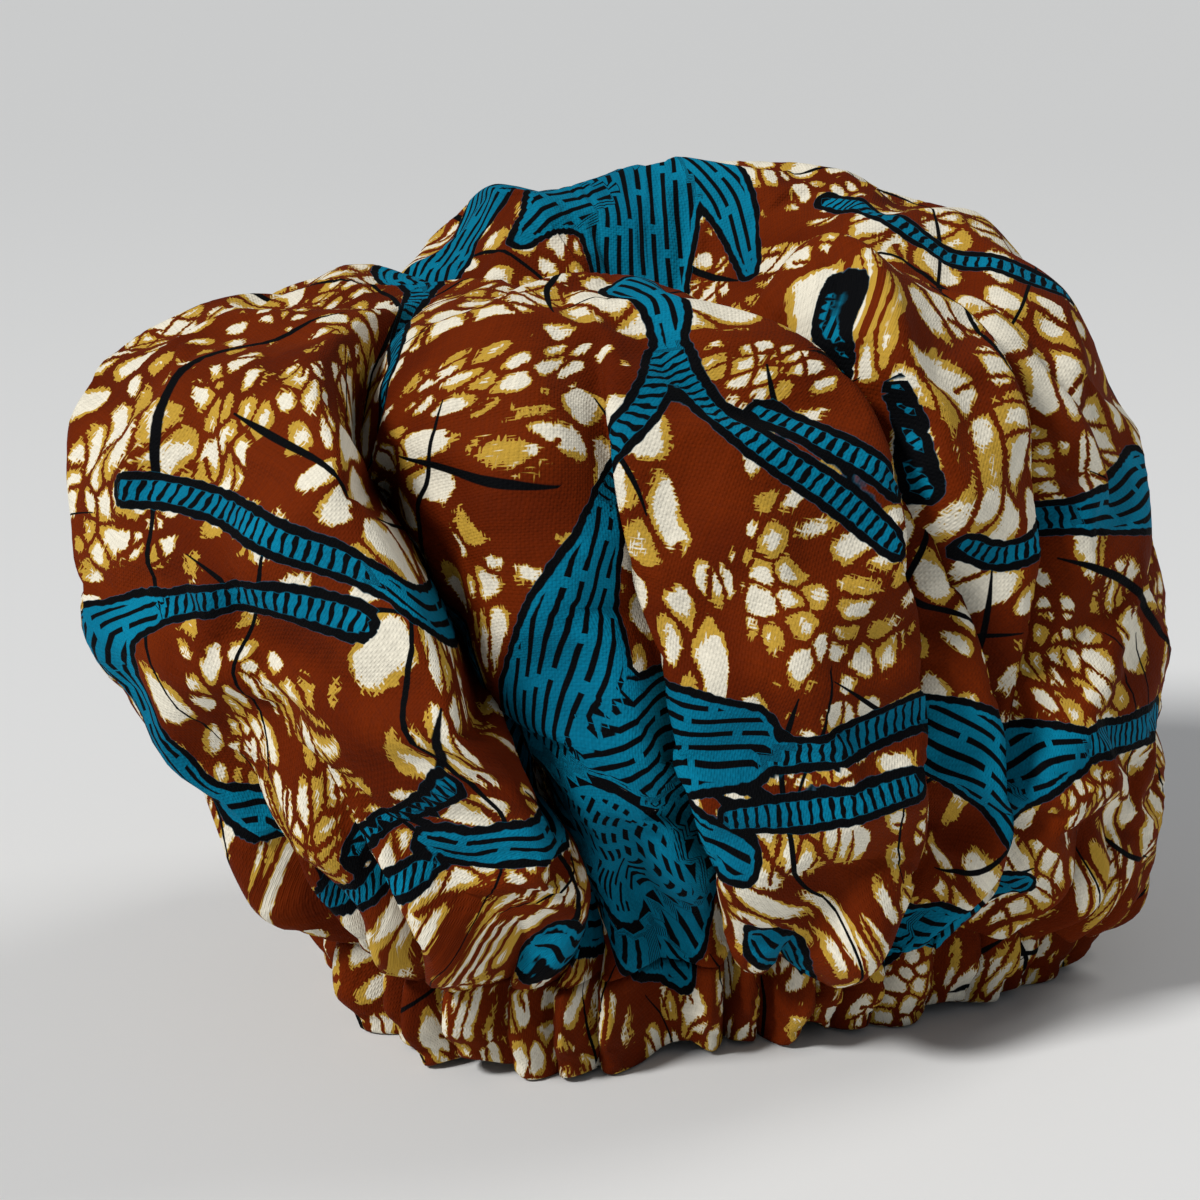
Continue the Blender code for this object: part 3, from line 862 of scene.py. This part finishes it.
class Signal:
    """A node's output. Python's operators lay Math nodes after it, and square brackets give its sisters."""

    __add__, __radd__ = operator("ADD"), operator("ADD", True)
    __sub__, __rsub__ = operator("SUBTRACT"), operator("SUBTRACT", True)
    __mul__, __rmul__ = operator("MULTIPLY"), operator("MULTIPLY", True)
    __truediv__, __rtruediv__ = operator("DIVIDE"), operator("DIVIDE", True)
    __gt__, __lt__ = operator("GREATER_THAN"), operator("LESS_THAN")
    __abs__ = operator("ABSOLUTE")

    def __init__(self, wires: "Wires", socket: bpy.types.NodeSocket) -> None:
        """Keeps the tree's wires and the output's socket."""
        self.wires, self.socket = wires, socket

    def __getitem__(self, name: str | int) -> "Signal":
        """Another output of the same node."""
        return Signal(self.wires, self.socket.node.outputs[name])


class Wires:
    """Short calls that lay shader nodes in one tree and join them."""

    def __init__(self, tree: bpy.types.NodeTree) -> None:
        """Keeps the tree that the nodes go in."""
        self.tree = tree

    @classmethod
    def group(cls, name: str, **takes: str) -> tuple["Wires", Signal]:
        """The wires of a new node group and its inputs, given by their names and socket kinds."""
        tree = bpy.data.node_groups.new(name, "ShaderNodeTree")
        for socket, kind in takes.items():
            tree.interface.new_socket(socket, in_out="INPUT", socket_type=kind)
        wires = cls(tree)
        return wires, wires.node("NodeGroupInput")

    def give(self, **values: Signal) -> bpy.types.NodeTree:
        """Gives a group its outputs, all of them numbers, and returns its tree."""
        for name in values:
            self.tree.interface.new_socket(name, in_out="OUTPUT", socket_type=FLOAT)
        self.feed(self.tree.nodes.new("NodeGroupOutput"), values)
        return self.tree

    def feed(self, node: bpy.types.Node, values: dict[str | int, Signal | float | tuple]) -> None:
        """Joins a node's inputs to signals, or sets their values."""
        for name, value in values.items():
            if isinstance(value, Signal):
                self.tree.links.new(value.socket, node.inputs[name])
            else:
                node.inputs[name].default_value = value

    def node(self, kind: str, values: dict | None = None, **settings: object) -> Signal:
        """The first output of a new node with its settings and what its inputs take."""
        made = self.tree.nodes.new(kind)
        for name, value in settings.items():
            setattr(made, name, value)
        self.feed(made, values or {})
        return Signal(self, made.outputs[0])

    def math(self, operation: str, *values: Signal | float) -> Signal:
        """A Math node's result."""
        return self.node("ShaderNodeMath", dict(enumerate(values)), operation=operation)

    def vector(self, operation: str, first: Signal, second: Signal | tuple | float) -> Signal:
        """A Vector Math node's result; scale takes a number in place of the second vector."""
        values = {0: first, "Scale" if operation == "SCALE" else 1: second}
        return self.node("ShaderNodeVectorMath", values, operation=operation)

    def split(self, vector: Signal) -> tuple[Signal, Signal, Signal]:
        """A vector's three parts."""
        parts = self.node("ShaderNodeSeparateXYZ", {0: vector})
        return parts["X"], parts["Y"], parts["Z"]

    def step(self, value: Signal, low: Signal | float, high: Signal | float) -> Signal:
        """Rises smoothly from 0 at low to 1 at high."""
        values = {"Value": value, "From Min": low, "From Max": high}
        return self.node("ShaderNodeMapRange", values, interpolation_type="SMOOTHSTEP")

    def noise(self, place: Signal, scale: float, detail: float = 0.0, flat: bool = True) -> Signal:
        """A noise texture."""
        values = {"Vector": place, "Scale": scale, "Detail": detail}
        return self.node("ShaderNodeTexNoise", values, noise_dimensions="2D" if flat else "3D")

    def sway(self, place: Signal, scale: float, size: float, detail: float = 0.0) -> Signal:
        """A vector that slow noise moves about, up to half a size each way."""
        away = self.vector("SUBTRACT", self.noise(place, scale, detail)["Color"], (0.5, 0.5, 0.5))
        return self.vector("SCALE", away, size)

    def turned(
        self, place: Signal, turn: float, scale: tuple[float, float] = (1, 1), shift: float = 0
    ) -> Signal:
        """A place turned, stretched and shifted on the cloth."""
        values = {
            "Vector": place,
            "Rotation": (0, 0, turn),
            "Scale": (1 / scale[0], 1 / scale[1], 1),
            "Location": (shift, 0.6 * shift, 0),
        }
        return self.node("ShaderNodeMapping", values, vector_type="TEXTURE")

    def off_lines(self, value: Signal, pitch: Signal | float) -> Signal:
        """Distance to the nearest of the lines that lie a pitch apart across a value."""
        return abs(self.math("FRACT", value / pitch) - 0.5) * pitch

    def mix(self, share: Signal, first: Signal | tuple, second: Signal | tuple) -> Signal:
        """A colour between two."""
        return self.node("ShaderNodeMix", {"Factor": share, 6: first, 7: second}, data_type="RGBA")[2]

    def bump(self, height: Signal, strength: float = 1.0) -> Signal:
        """The normal of a relief whose height is in metres."""
        return self.node("ShaderNodeBump", {"Height": height, "Strength": strength, "Distance": 1.0})


def new_material(name: str) -> tuple[bpy.types.Material, Wires, bpy.types.Node]:
    """A new material, its wires and its Principled shader."""
    material = bpy.data.materials.new(name)
    material.use_nodes = True
    return material, Wires(material.node_tree), material.node_tree.nodes["Principled BSDF"]


class PlainWeave:
    """The group that gives a plain weave: threads over and under one another, with slubs."""

    def __init__(self) -> None:
        """Builds the group once."""
        wires, takes = Wires.group("plain_weave", Place=VECTOR, Pitch=FLOAT)
        place = takes["Place"]
        bent = wires.vector("ADD", place, wires.vector("SCALE", wires.noise(place, 0.09)["Color"], 1.6))
        x, y, _ = wires.split(wires.vector("SCALE", bent, math.pi / takes["Pitch"]))
        warp, weft = wires.math("SINE", x), wires.math("SINE", y)
        slubs = (wires.noise(wires.turned(place, 0, scale), 1.0) for scale in ((1.3, 0.06), (0.06, 1.3)))
        self.tree = wires.give(
            Height=(abs(warp) + abs(weft)) * 0.35 + warp * weft * 0.3,
            Slub=sum(slubs) * 0.5,
        )


class WaxGround:
    """The group that gives the print's ground: wax pebbles with ragged halos, crackle and dark veins.

    Lengths are in millimetres on the flat cut.
    """

    large, small = 12.5, 7.6
    crackles = ((0.5, 7.2, 0.55), (-0.9, 8.4, 0.58))
    vein_families = ((0.35, 41.0, 90.0, 0.47), (1.75, 47.0, 110.0, 0.49), (-0.7, 63.0, 80.0, 0.52))

    def __init__(self) -> None:
        """Builds the group once."""
        self.wires, takes = Wires.group("wax_ground", Place=VECTOR)
        halo, pebble = self.pebbles(takes["Place"])
        self.tree = self.wires.give(Pebble=pebble, Halo=halo, Vein=self.veins(takes["Place"]))

    def cells(self, bent: Signal, size: float, crowd: Signal) -> Signal:
        """Rounded cells of one size.

        Args:
            bent: the place on the cloth, warped.
            size: mean pitch of the cells.
            crowd: 0 where the cells nearly touch and 1 where they lie apart.

        Returns:
            How far inside a cell a place is: the smooth minimum of two distances. One is half of what the
            second nearest Voronoi point lies further off than the nearest, less a gap, and the other is that
            to a circle round the nearest.
        """
        wires = self.wires
        values = {"Vector": bent, "Scale": 1 / size, "Randomness": 0.86}
        second, first = (
            wires.node("ShaderNodeTexVoronoi", values, voronoi_dimensions="2D", feature=feature)
            for feature in ("F2", "F1")
        )
        gap_chance, reach_chance, gone_chance = wires.split(first["Color"])
        gap = gap_chance * (0.07 * size) + crowd * (0.12 * size)
        sides = (second["Distance"] - first["Distance"]) * (0.5 * size) - gap
        circle = (0.47 * size + reach_chance * (0.34 * size)) - first["Distance"] * size
        inside = wires.math("SMOOTH_MIN", sides, circle, 0.34 * size)
        return inside - (gone_chance > 0.94) * 30.0

    def crackle(self, place: Signal, turn: float, pitch: float, low: float) -> Signal:
        """Distance to a family of nearly parallel crackle lines, which only some regions have."""
        wires = self.wires
        bent = wires.vector("ADD", place, wires.sway(place, 0.03, 20.0))
        across, _, _ = wires.split(wires.turned(bent, turn))
        here = wires.step(wires.noise(place, 0.024), low, low + 0.05)
        return (wires.off_lines(across, pitch) - 0.38) + (1.0 - here) * 12.0

    def pebbles(self, place: Signal) -> tuple[Signal, Signal]:
        """Halos and, inside them, pebbles.

        Args:
            place: the place on the cloth.

        Returns:
            Masks of the halos and of the pebbles: large and small rounded cells, cut by crackle lines, with
            edges that are ragged along the threads.
        """
        wires = self.wires
        bent = wires.vector("ADD", place, wires.sway(place, 0.015, 46.0, 1.0))
        bent = wires.vector("ADD", bent, wires.sway(place, 0.12, 2.2))
        crowd = wires.step(wires.noise(place, 0.021), 0.54, 0.76)
        few = wires.step(wires.noise(place, 0.017), 0.50, 0.60)
        large = self.cells(wires.turned(bent, 0.9, (1.0, 0.74)), self.large, crowd) - few * 7.0
        small = self.cells(wires.turned(bent, -0.5, (1.0, 0.80), 40.0), self.small, crowd) - (1.0 - few) * 5.0
        inside = wires.math("MAXIMUM", large, small)
        for turn, pitch, low in self.crackles:
            cut = self.crackle(wires.turned(place, 0.0, shift=70.0 * turn), turn, pitch, low)
            inside = wires.math("SMOOTH_MIN", inside, cut, 0.9)
        threads = (wires.noise(wires.turned(place, 0.0, scale), 1.0) for scale in ((1.7, 0.34), (0.34, 1.7)))
        ragged = wires.math("MAXIMUM", *threads) - 0.56
        ring = 0.25 + wires.step(wires.noise(place, 0.10), 0.34, 0.76) * 1.5
        halo = wires.step(inside + ragged * 1.7, 0.25, 0.5)
        return halo, wires.step(inside + ragged * 1.9 - ring, 0.25, 0.6) * halo

    def veins(self, place: Signal) -> Signal:
        """Dark curved lines that taper out: three families of bent lines, each broken by slow noise."""
        wires, found = self.wires, []
        for turn, pitch, bend, cut in self.vein_families:
            turned = wires.turned(place, turn, shift=13.0 * turn + 5.0)
            across, _, _ = wires.split(wires.vector("ADD", turned, wires.sway(turned, 0.0085, bend)))
            half = wires.step(wires.noise(turned, 0.015), cut, cut + 0.16) * 0.72
            line = 1.0 - wires.step(wires.off_lines(across, pitch), half, half + 0.25)
            found.append(line * (half > 0.10))
        return wires.math("MAXIMUM", wires.math("MAXIMUM", found[0], found[1]), found[2])


class DrawnPrint:
    """The group that fills the drawn shapes: rungs in vines, hatching in leaves and seeds, black outlines."""

    rung_pitch, rung_half = 3.1, 0.52
    lane_wide, hatch_half, dash_long = 3.5, 0.56, 26.0

    def __init__(self) -> None:
        """Builds the group once."""
        takes_all = {"Place": VECTOR, "Edge": FLOAT, "Along": FLOAT, "Across": FLOAT, "Kind": FLOAT}
        wires, takes = Wires.group("drawn_print", **takes_all)
        place = takes["Place"]
        wobble = wires.noise(place, 0.45) - 0.5
        edge = takes["Edge"] + wobble * 0.6
        leaf, seed = (takes["Kind"] > motif.value - 0.5 for motif in (Motif.LEAF, Motif.SEED))
        inner = 0.85 + seed * 0.9
        inside = wires.step(edge, inner, inner + 0.3)
        fill = wires.step(edge, -1.05, -0.75)
        across = takes["Across"] + (wires.noise(place, 0.05) - 0.5) * 3.0
        lane_wide = self.lane_wide - seed * 0.7
        lane = wires.math("FLOOR", across / lane_wide)
        chance = wires.node("ShaderNodeTexWhiteNoise", {"W": lane}, noise_dimensions="1D")["Value"]
        long = self.dash_long - seed * 17.0
        dash = wires.math("FRACT", (takes["Along"] + chance * long) / long) < 0.90 - seed * 0.3
        hatch = self.lines(wires, across, lane_wide, self.hatch_half) * dash * wires.step(edge, 1.9, 2.2)
        hatch = hatch * (1.0 - seed * (1.0 - wires.step(edge, 4.0, 4.4)))
        rung = self.lines(wires, takes["Along"] + wobble * 1.2, self.rung_pitch, self.rung_half)
        ink = (hatch * leaf + rung * (1.0 - leaf)) * inside
        self.tree = wires.give(Fill=fill, Ink=wires.math("MAXIMUM", fill * (1.0 - inside), ink))

    @staticmethod
    def lines(wires: Wires, value: Signal, pitch: Signal | float, half: float) -> Signal:
        """Lines at a pitch across a value, each of a half width in millimetres."""
        return 1.0 - wires.step(wires.off_lines(value, pitch), half, half + 0.22)


@dataclass(frozen=True)
class PrintedCotton:
    """Plain woven cotton with a glazed wax print in brown, cream, ochre, teal and black."""

    name: str
    ground: tuple = (0.145, 0.0175, 0.0010, 1)
    ground_dark: tuple = (0.105, 0.0115, 0.0007, 1)
    cream: tuple = (0.80, 0.75, 0.62, 1)
    ochre: tuple = (0.52, 0.315, 0.042, 1)
    teal: tuple = (0.001, 0.195, 0.330, 1)
    teal_dark: tuple = (0.0005, 0.140, 0.245, 1)
    black: tuple = (0.0018, 0.0022, 0.0030, 1)
    mean_colour: tuple = (0.27, 0.19, 0.13, 1)
    roughness: float = 0.66
    gloss: float = 0.05
    thread_pitch_mm: float = 0.8
    weave_high: float = 0.22 * MM
    crumple_high: float = 1.1 * MM
    relief: float = 0.75

    def build(self, weave: PlainWeave, wax: WaxGround, drawn: DrawnPrint) -> bpy.types.Material:
        """Makes the material.

        Args:
            weave: the threads' group.
            wax: the ground's group.
            drawn: the drawn shapes' group.

        Returns:
            The material, which reads the flat cut and the drawn shapes from the piece's own attributes.
        """
        material, wires, shader = new_material(self.name)
        cut, shape, kind = (
            wires.node("ShaderNodeAttribute", attribute_name=name)
            for name in ("flat_cut", "drawn_shape", "drawn_kind")
        )
        place = cut["Vector"]
        edge, along, across = wires.split(shape["Vector"])
        threads = wires.node(
            "ShaderNodeGroup", {"Place": place, "Pitch": self.thread_pitch_mm}, node_tree=weave.tree)
        ground = wires.node("ShaderNodeGroup", {"Place": place}, node_tree=wax.tree)
        values = {"Place": place, "Edge": edge, "Along": along, "Across": across, "Kind": kind["Fac"]}
        shapes = wires.node("ShaderNodeGroup", values, node_tree=drawn.tree)

        cloudy = wires.noise(place, 0.03, 1.0)
        base = wires.mix(wires.step(cloudy, 0.35, 0.68), self.ground, self.ground_dark)
        teal = wires.mix(wires.step(cloudy, 0.3, 0.7), self.teal, self.teal_dark)
        colour = wires.mix(ground["Halo"], base, self.ochre)
        colour = wires.mix(ground["Pebble"], colour, self.cream)
        colour = wires.mix(ground["Vein"], colour, self.black)
        colour = wires.mix(shapes["Fill"], colour, teal)
        colour = wires.mix(shapes["Ink"], colour, self.black)
        # The slubs vary the yarn's own tone; the weave's height term is painted shade, darker in the hollows
        # between the threads.
        slub_tone_and_weave_shade = threads["Slub"] * 0.34 + 0.80 + threads["Height"] * 0.10
        high = threads["Height"] * self.weave_high + wires.noise(place, 0.13, 2.0) * self.crumple_high
        wires.feed(shader, {
            "Base Color": wires.node("ShaderNodeHueSaturation", {"Color": colour, "Value": slub_tone_and_weave_shade}),
            "Roughness": self.roughness + threads["Slub"] * 0.2,
            "Specular IOR Level": self.gloss,
            "Normal": wires.bump(high, self.relief),
        })
        self.plain_in_bounces(material, wires, shader)
        return material

    def plain_in_bounces(self, material: bpy.types.Material, wires: Wires, shader: bpy.types.Node) -> None:
        """Gives light that bounces off the cloth one mean colour, so that bounces don't cost the print.

        Args:
            material: the cotton's material.
            wires: its wires.
            shader: its Principled shader, which the camera sees.
        """
        plain = wires.node("ShaderNodeBsdfDiffuse", {"Color": self.mean_colour})
        seen = wires.node("ShaderNodeLightPath")["Is Camera Ray"]
        both = wires.node("ShaderNodeMixShader", {0: seen, 1: plain, 2: Signal(wires, shader.outputs[0])})
        wires.feed(material.node_tree.nodes["Material Output"], {"Surface": both})


@dataclass(frozen=True)
class RibbedElastic:
    """White woven elastic: fine ribs that run along the band, with a fine grain, and painted shade in the
    grooves between the ribs.
    """

    name: str = "woven_elastic"
    colour: tuple = (0.80, 0.78, 0.73, 1)
    # The groove colour is painted shade: darker where the relief is low between the ribs.
    groove_painted_shade: tuple = (0.55, 0.53, 0.49, 1)
    roughness: float = 0.7
    ribs_to_a_metre: float = 900.0
    grains_to_a_metre: float = 1200.0
    rib_high: float = 0.3 * MM

    def build(self) -> bpy.types.Material:
        """Makes the material, which reads the height of a place on the band."""
        material, wires, shader = new_material(self.name)
        place = wires.node("ShaderNodeTexCoord")["Object"]
        _, _, up = wires.split(place)
        rib = abs(wires.math("SINE", up * (math.pi * self.ribs_to_a_metre)))
        high = rib * 0.7 + wires.noise(place, self.grains_to_a_metre, 1.0, flat=False) * 0.3
        # Painted shade: where the relief is low, between the ribs, the colour darkens to the groove colour;
        # the grain's noise also varies it.
        wires.feed(shader, {
            "Base Color": wires.mix(wires.step(high, 0.1, 0.6), self.groove_painted_shade, self.colour),
            "Roughness": self.roughness,
            "Normal": wires.bump(high * self.rib_high),
        })
        return material


def new_piece(
    name: str, points: Array, faces: list[Array], material: bpy.types.Material | None
) -> bpy.types.Object:
    """A smooth mesh object at the origin.

    Args:
        name: the piece's name.
        points: its vertices, in metres.
        faces: arrays of vertex numbers, each array with faces of one size.
        material: its finish, if it has one.

    Returns:
        The object.
    """
    corners = np.concatenate([array.ravel() for array in faces])
    sizes = np.concatenate([np.full(len(array), array.shape[1]) for array in faces])
    mesh = bpy.data.meshes.new(name)
    mesh.vertices.add(len(points))
    mesh.vertices.foreach_set("co", points.astype(np.float32).ravel())
    mesh.loops.add(len(corners))
    mesh.loops.foreach_set("vertex_index", corners.astype(np.int32))
    mesh.polygons.add(len(sizes))
    mesh.polygons.foreach_set("loop_start", np.concatenate([[0], np.cumsum(sizes)[:-1]]).astype(np.int32))
    mesh.polygons.foreach_set("loop_total", sizes.astype(np.int32))
    mesh.update(calc_edges=True)
    mesh.validate()
    mesh.shade_smooth()
    if material:
        mesh.materials.append(material)
    piece = bpy.data.objects.new(name, mesh)
    bpy.context.scene.collection.objects.link(piece)
    return piece


@dataclass
class BonnetCloth:
    """The crown and the hem casing, two pieces of one printed sheet that meet at the stitched line."""

    sheet: ClothSheet
    drawn: Array
    thick: float = 0.7 * MM

    def make(self, first: int, last: int, name: str, material: bpy.types.Material) -> bpy.types.Object:
        """A piece of the sheet between two rows.

        Args:
            first: its upper row; from row 0, the apex is closed by a fan.
            last: its lower row.
            name: the piece's name.
            material: its finish.

        Returns:
            The piece, with the flat cut and the drawn shapes as attributes in millimetres, and its thickness.
        """
        flat = self.sheet.cut / MM
        sheets = [self.sheet.points, flat, np.zeros_like(flat[..., :1]), self.drawn]
        values = np.concatenate(sheets, axis=-1)[:, first : last + 1]
        if first == 0:
            values, faces = closed_cap(values)
        else:
            faces = [sheet_quads(*values.shape[:2])]
            values = values.reshape(-1, values.shape[-1])
        piece = new_piece(name, values[:, :3], faces, material)
        for label, kind, key, array in (
            ("flat_cut", "FLOAT_VECTOR", "vector", values[:, 3:6]),
            ("drawn_shape", "FLOAT_VECTOR", "vector", values[:, 6:9]),
            ("drawn_kind", "FLOAT", "value", values[:, 9]),
        ):
            layer = piece.data.attributes.new(label, kind, "POINT")
            layer.data.foreach_set(key, array.astype(np.float32).ravel())
        wall = piece.modifiers.new("cloth_thickness", "SOLIDIFY")
        wall.thickness, wall.offset, wall.use_even_offset = self.thick, -1.0, False
        return piece

    def build(self, cotton: bpy.types.Material, hem_cotton: bpy.types.Material) -> list[bpy.types.Object]:
        """Makes both pieces and lays them on the frame."""
        neck, end = self.sheet.crown_rows, self.sheet.points.shape[1] - 1
        crown = self.make(0, neck, "crown_cloth", cotton)
        hem = self.make(neck, end, "hem_cloth", hem_cotton)
        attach(crown, "root")
        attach(hem, "root")
        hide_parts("crown")
        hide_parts("hem_casing")
        return [crown, hem]


@dataclass(frozen=True)
class Window:
    """A wide soft light from far away; its width, azimuth and height are in degrees."""

    name: str
    strength: float
    wide: float
    azimuth: float
    up: float
    colour: tuple[float, float, float]

    def build(self) -> None:
        """Makes the light."""
        data = bpy.data.lights.new(self.name, "SUN")
        data.energy, data.angle, data.color = self.strength, math.radians(self.wide), self.colour
        light = bpy.data.objects.new(self.name, data)
        light.rotation_euler = (math.radians(90 - self.up), 0, math.radians(self.azimuth + 90))
        bpy.context.scene.collection.objects.link(light)


@dataclass(frozen=True)
class Studio:
    """A pale floor, soft light from the left and behind, and the camera of the photograph."""

    aim: tuple[float, float, float] = (-9 * MM, -2 * MM, 107 * MM)
    camera_up: float = math.radians(17)
    camera_away: float = 0.9
    picture_px: float = 1200.0
    focal_px: float = 3261.0
    sensor_mm: float = 36.0
    nearest: float = 0.05
    floor_reach: float = 9.0
    floor_near: tuple = (0.83, 0.84, 0.85, 1)
    # The far floor colour is painted shade: darker towards the back, where the light falls off.
    floor_far_painted_shade: tuple = (0.69, 0.70, 0.71, 1)
    floor_roughness: float = 0.7
    room: tuple = (0.88, 0.93, 1.0, 1)
    room_strength: float = 0.18
    diffuse_bounces: int = 2
    windows: tuple[Window, ...] = (
        Window("window_light", 2.75, 12, 218, 41, (1.0, 0.985, 0.955)),
        Window("second_window_light", 0.75, 26, 30, 46, (1.0, 0.97, 0.92)),
    )

    def floor(self) -> None:
        """A wide flat sheet just under the hem, a little darker to the back: painted shade for the light that
        falls off there.
        """
        reach = self.floor_reach
        points = reach * np.array([(-1.0, -1.0, 0.0), (1.0, -1.0, 0.0), (1.0, 1.0, 0.0), (-1.0, 1.0, 0.0)])
        material, wires, shader = new_material("pale_floor")
        place = wires.node("ShaderNodeTexCoord")["Object"]
        _, depth, _ = wires.split(place)
        # Painted shade: the floor's colour goes darker towards the back, where the light falls off.
        back = wires.step(depth + wires.noise(place, 3.0, 3.0, flat=False) * 0.1, -0.2, 1.6)
        wires.feed(shader, {
            "Base Color": wires.mix(back, self.floor_near, self.floor_far_painted_shade),
            "Roughness": self.floor_roughness,
        })
        new_piece("floor", points, [np.array([[0, 1, 2, 3]])], material)

    def camera(self) -> bpy.types.Object:
        """The camera, level from side to side and turned down towards the aim."""
        camera = bpy.data.objects.new("camera", bpy.data.cameras.new("camera"))
        camera.data.sensor_width = self.sensor_mm
        camera.data.lens = self.focal_px * self.sensor_mm / self.picture_px
        camera.data.clip_start = self.nearest
        away = (0.0, -math.cos(self.camera_up), math.sin(self.camera_up))
        camera.location = [place + self.camera_away * part for place, part in zip(self.aim, away)]
        camera.rotation_euler = (math.pi / 2 - self.camera_up, 0, 0)
        bpy.context.scene.collection.objects.link(camera)
        return camera

    def build(self) -> None:
        """Makes the floor, the world, the lights and the camera."""
        self.floor()
        scene = bpy.context.scene
        world = bpy.data.worlds.new("pale_room")
        world.use_nodes = True
        back = world.node_tree.nodes["Background"]
        Wires(world.node_tree).feed(back, {"Color": self.room, "Strength": self.room_strength})
        scene.world = world
        for window in self.windows:
            window.build()
        scene.camera = self.camera()
        scene.view_settings.view_transform = "Standard"
        scene.cycles.diffuse_bounces = self.diffuse_bounces


def main() -> None:
    logging.basicConfig(level=logging.INFO, format="%(message)s")
    Studio().build()
    weave, wax, drawn = PlainWeave(), WaxGround(), DrawnPrint()
    cotton = PrintedCotton("printed_cotton").build(weave, wax, drawn)
    hem_cotton = PrintedCotton("printed_cotton_hem").build(weave, wax, drawn)
    sheet = ClothSheet(PuffedForm(), Settling())
    crown, hem = BonnetCloth(sheet, PrintLayout(sheet).draw()).build(cotton, hem_cotton)
    for material_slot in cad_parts["elastic_band"].material_slots:
        material_slot.material = RibbedElastic().build()
    log.info("crown %d points, hem %d points", len(crown.data.vertices), len(hem.data.vertices))
    low, high = sheet.cut.min(axis=(0, 1)), sheet.cut.max(axis=(0, 1))
    log.info("flat cut reaches %s to %s", low.round(3), high.round(3))


if __name__ == "__main__":
    main()
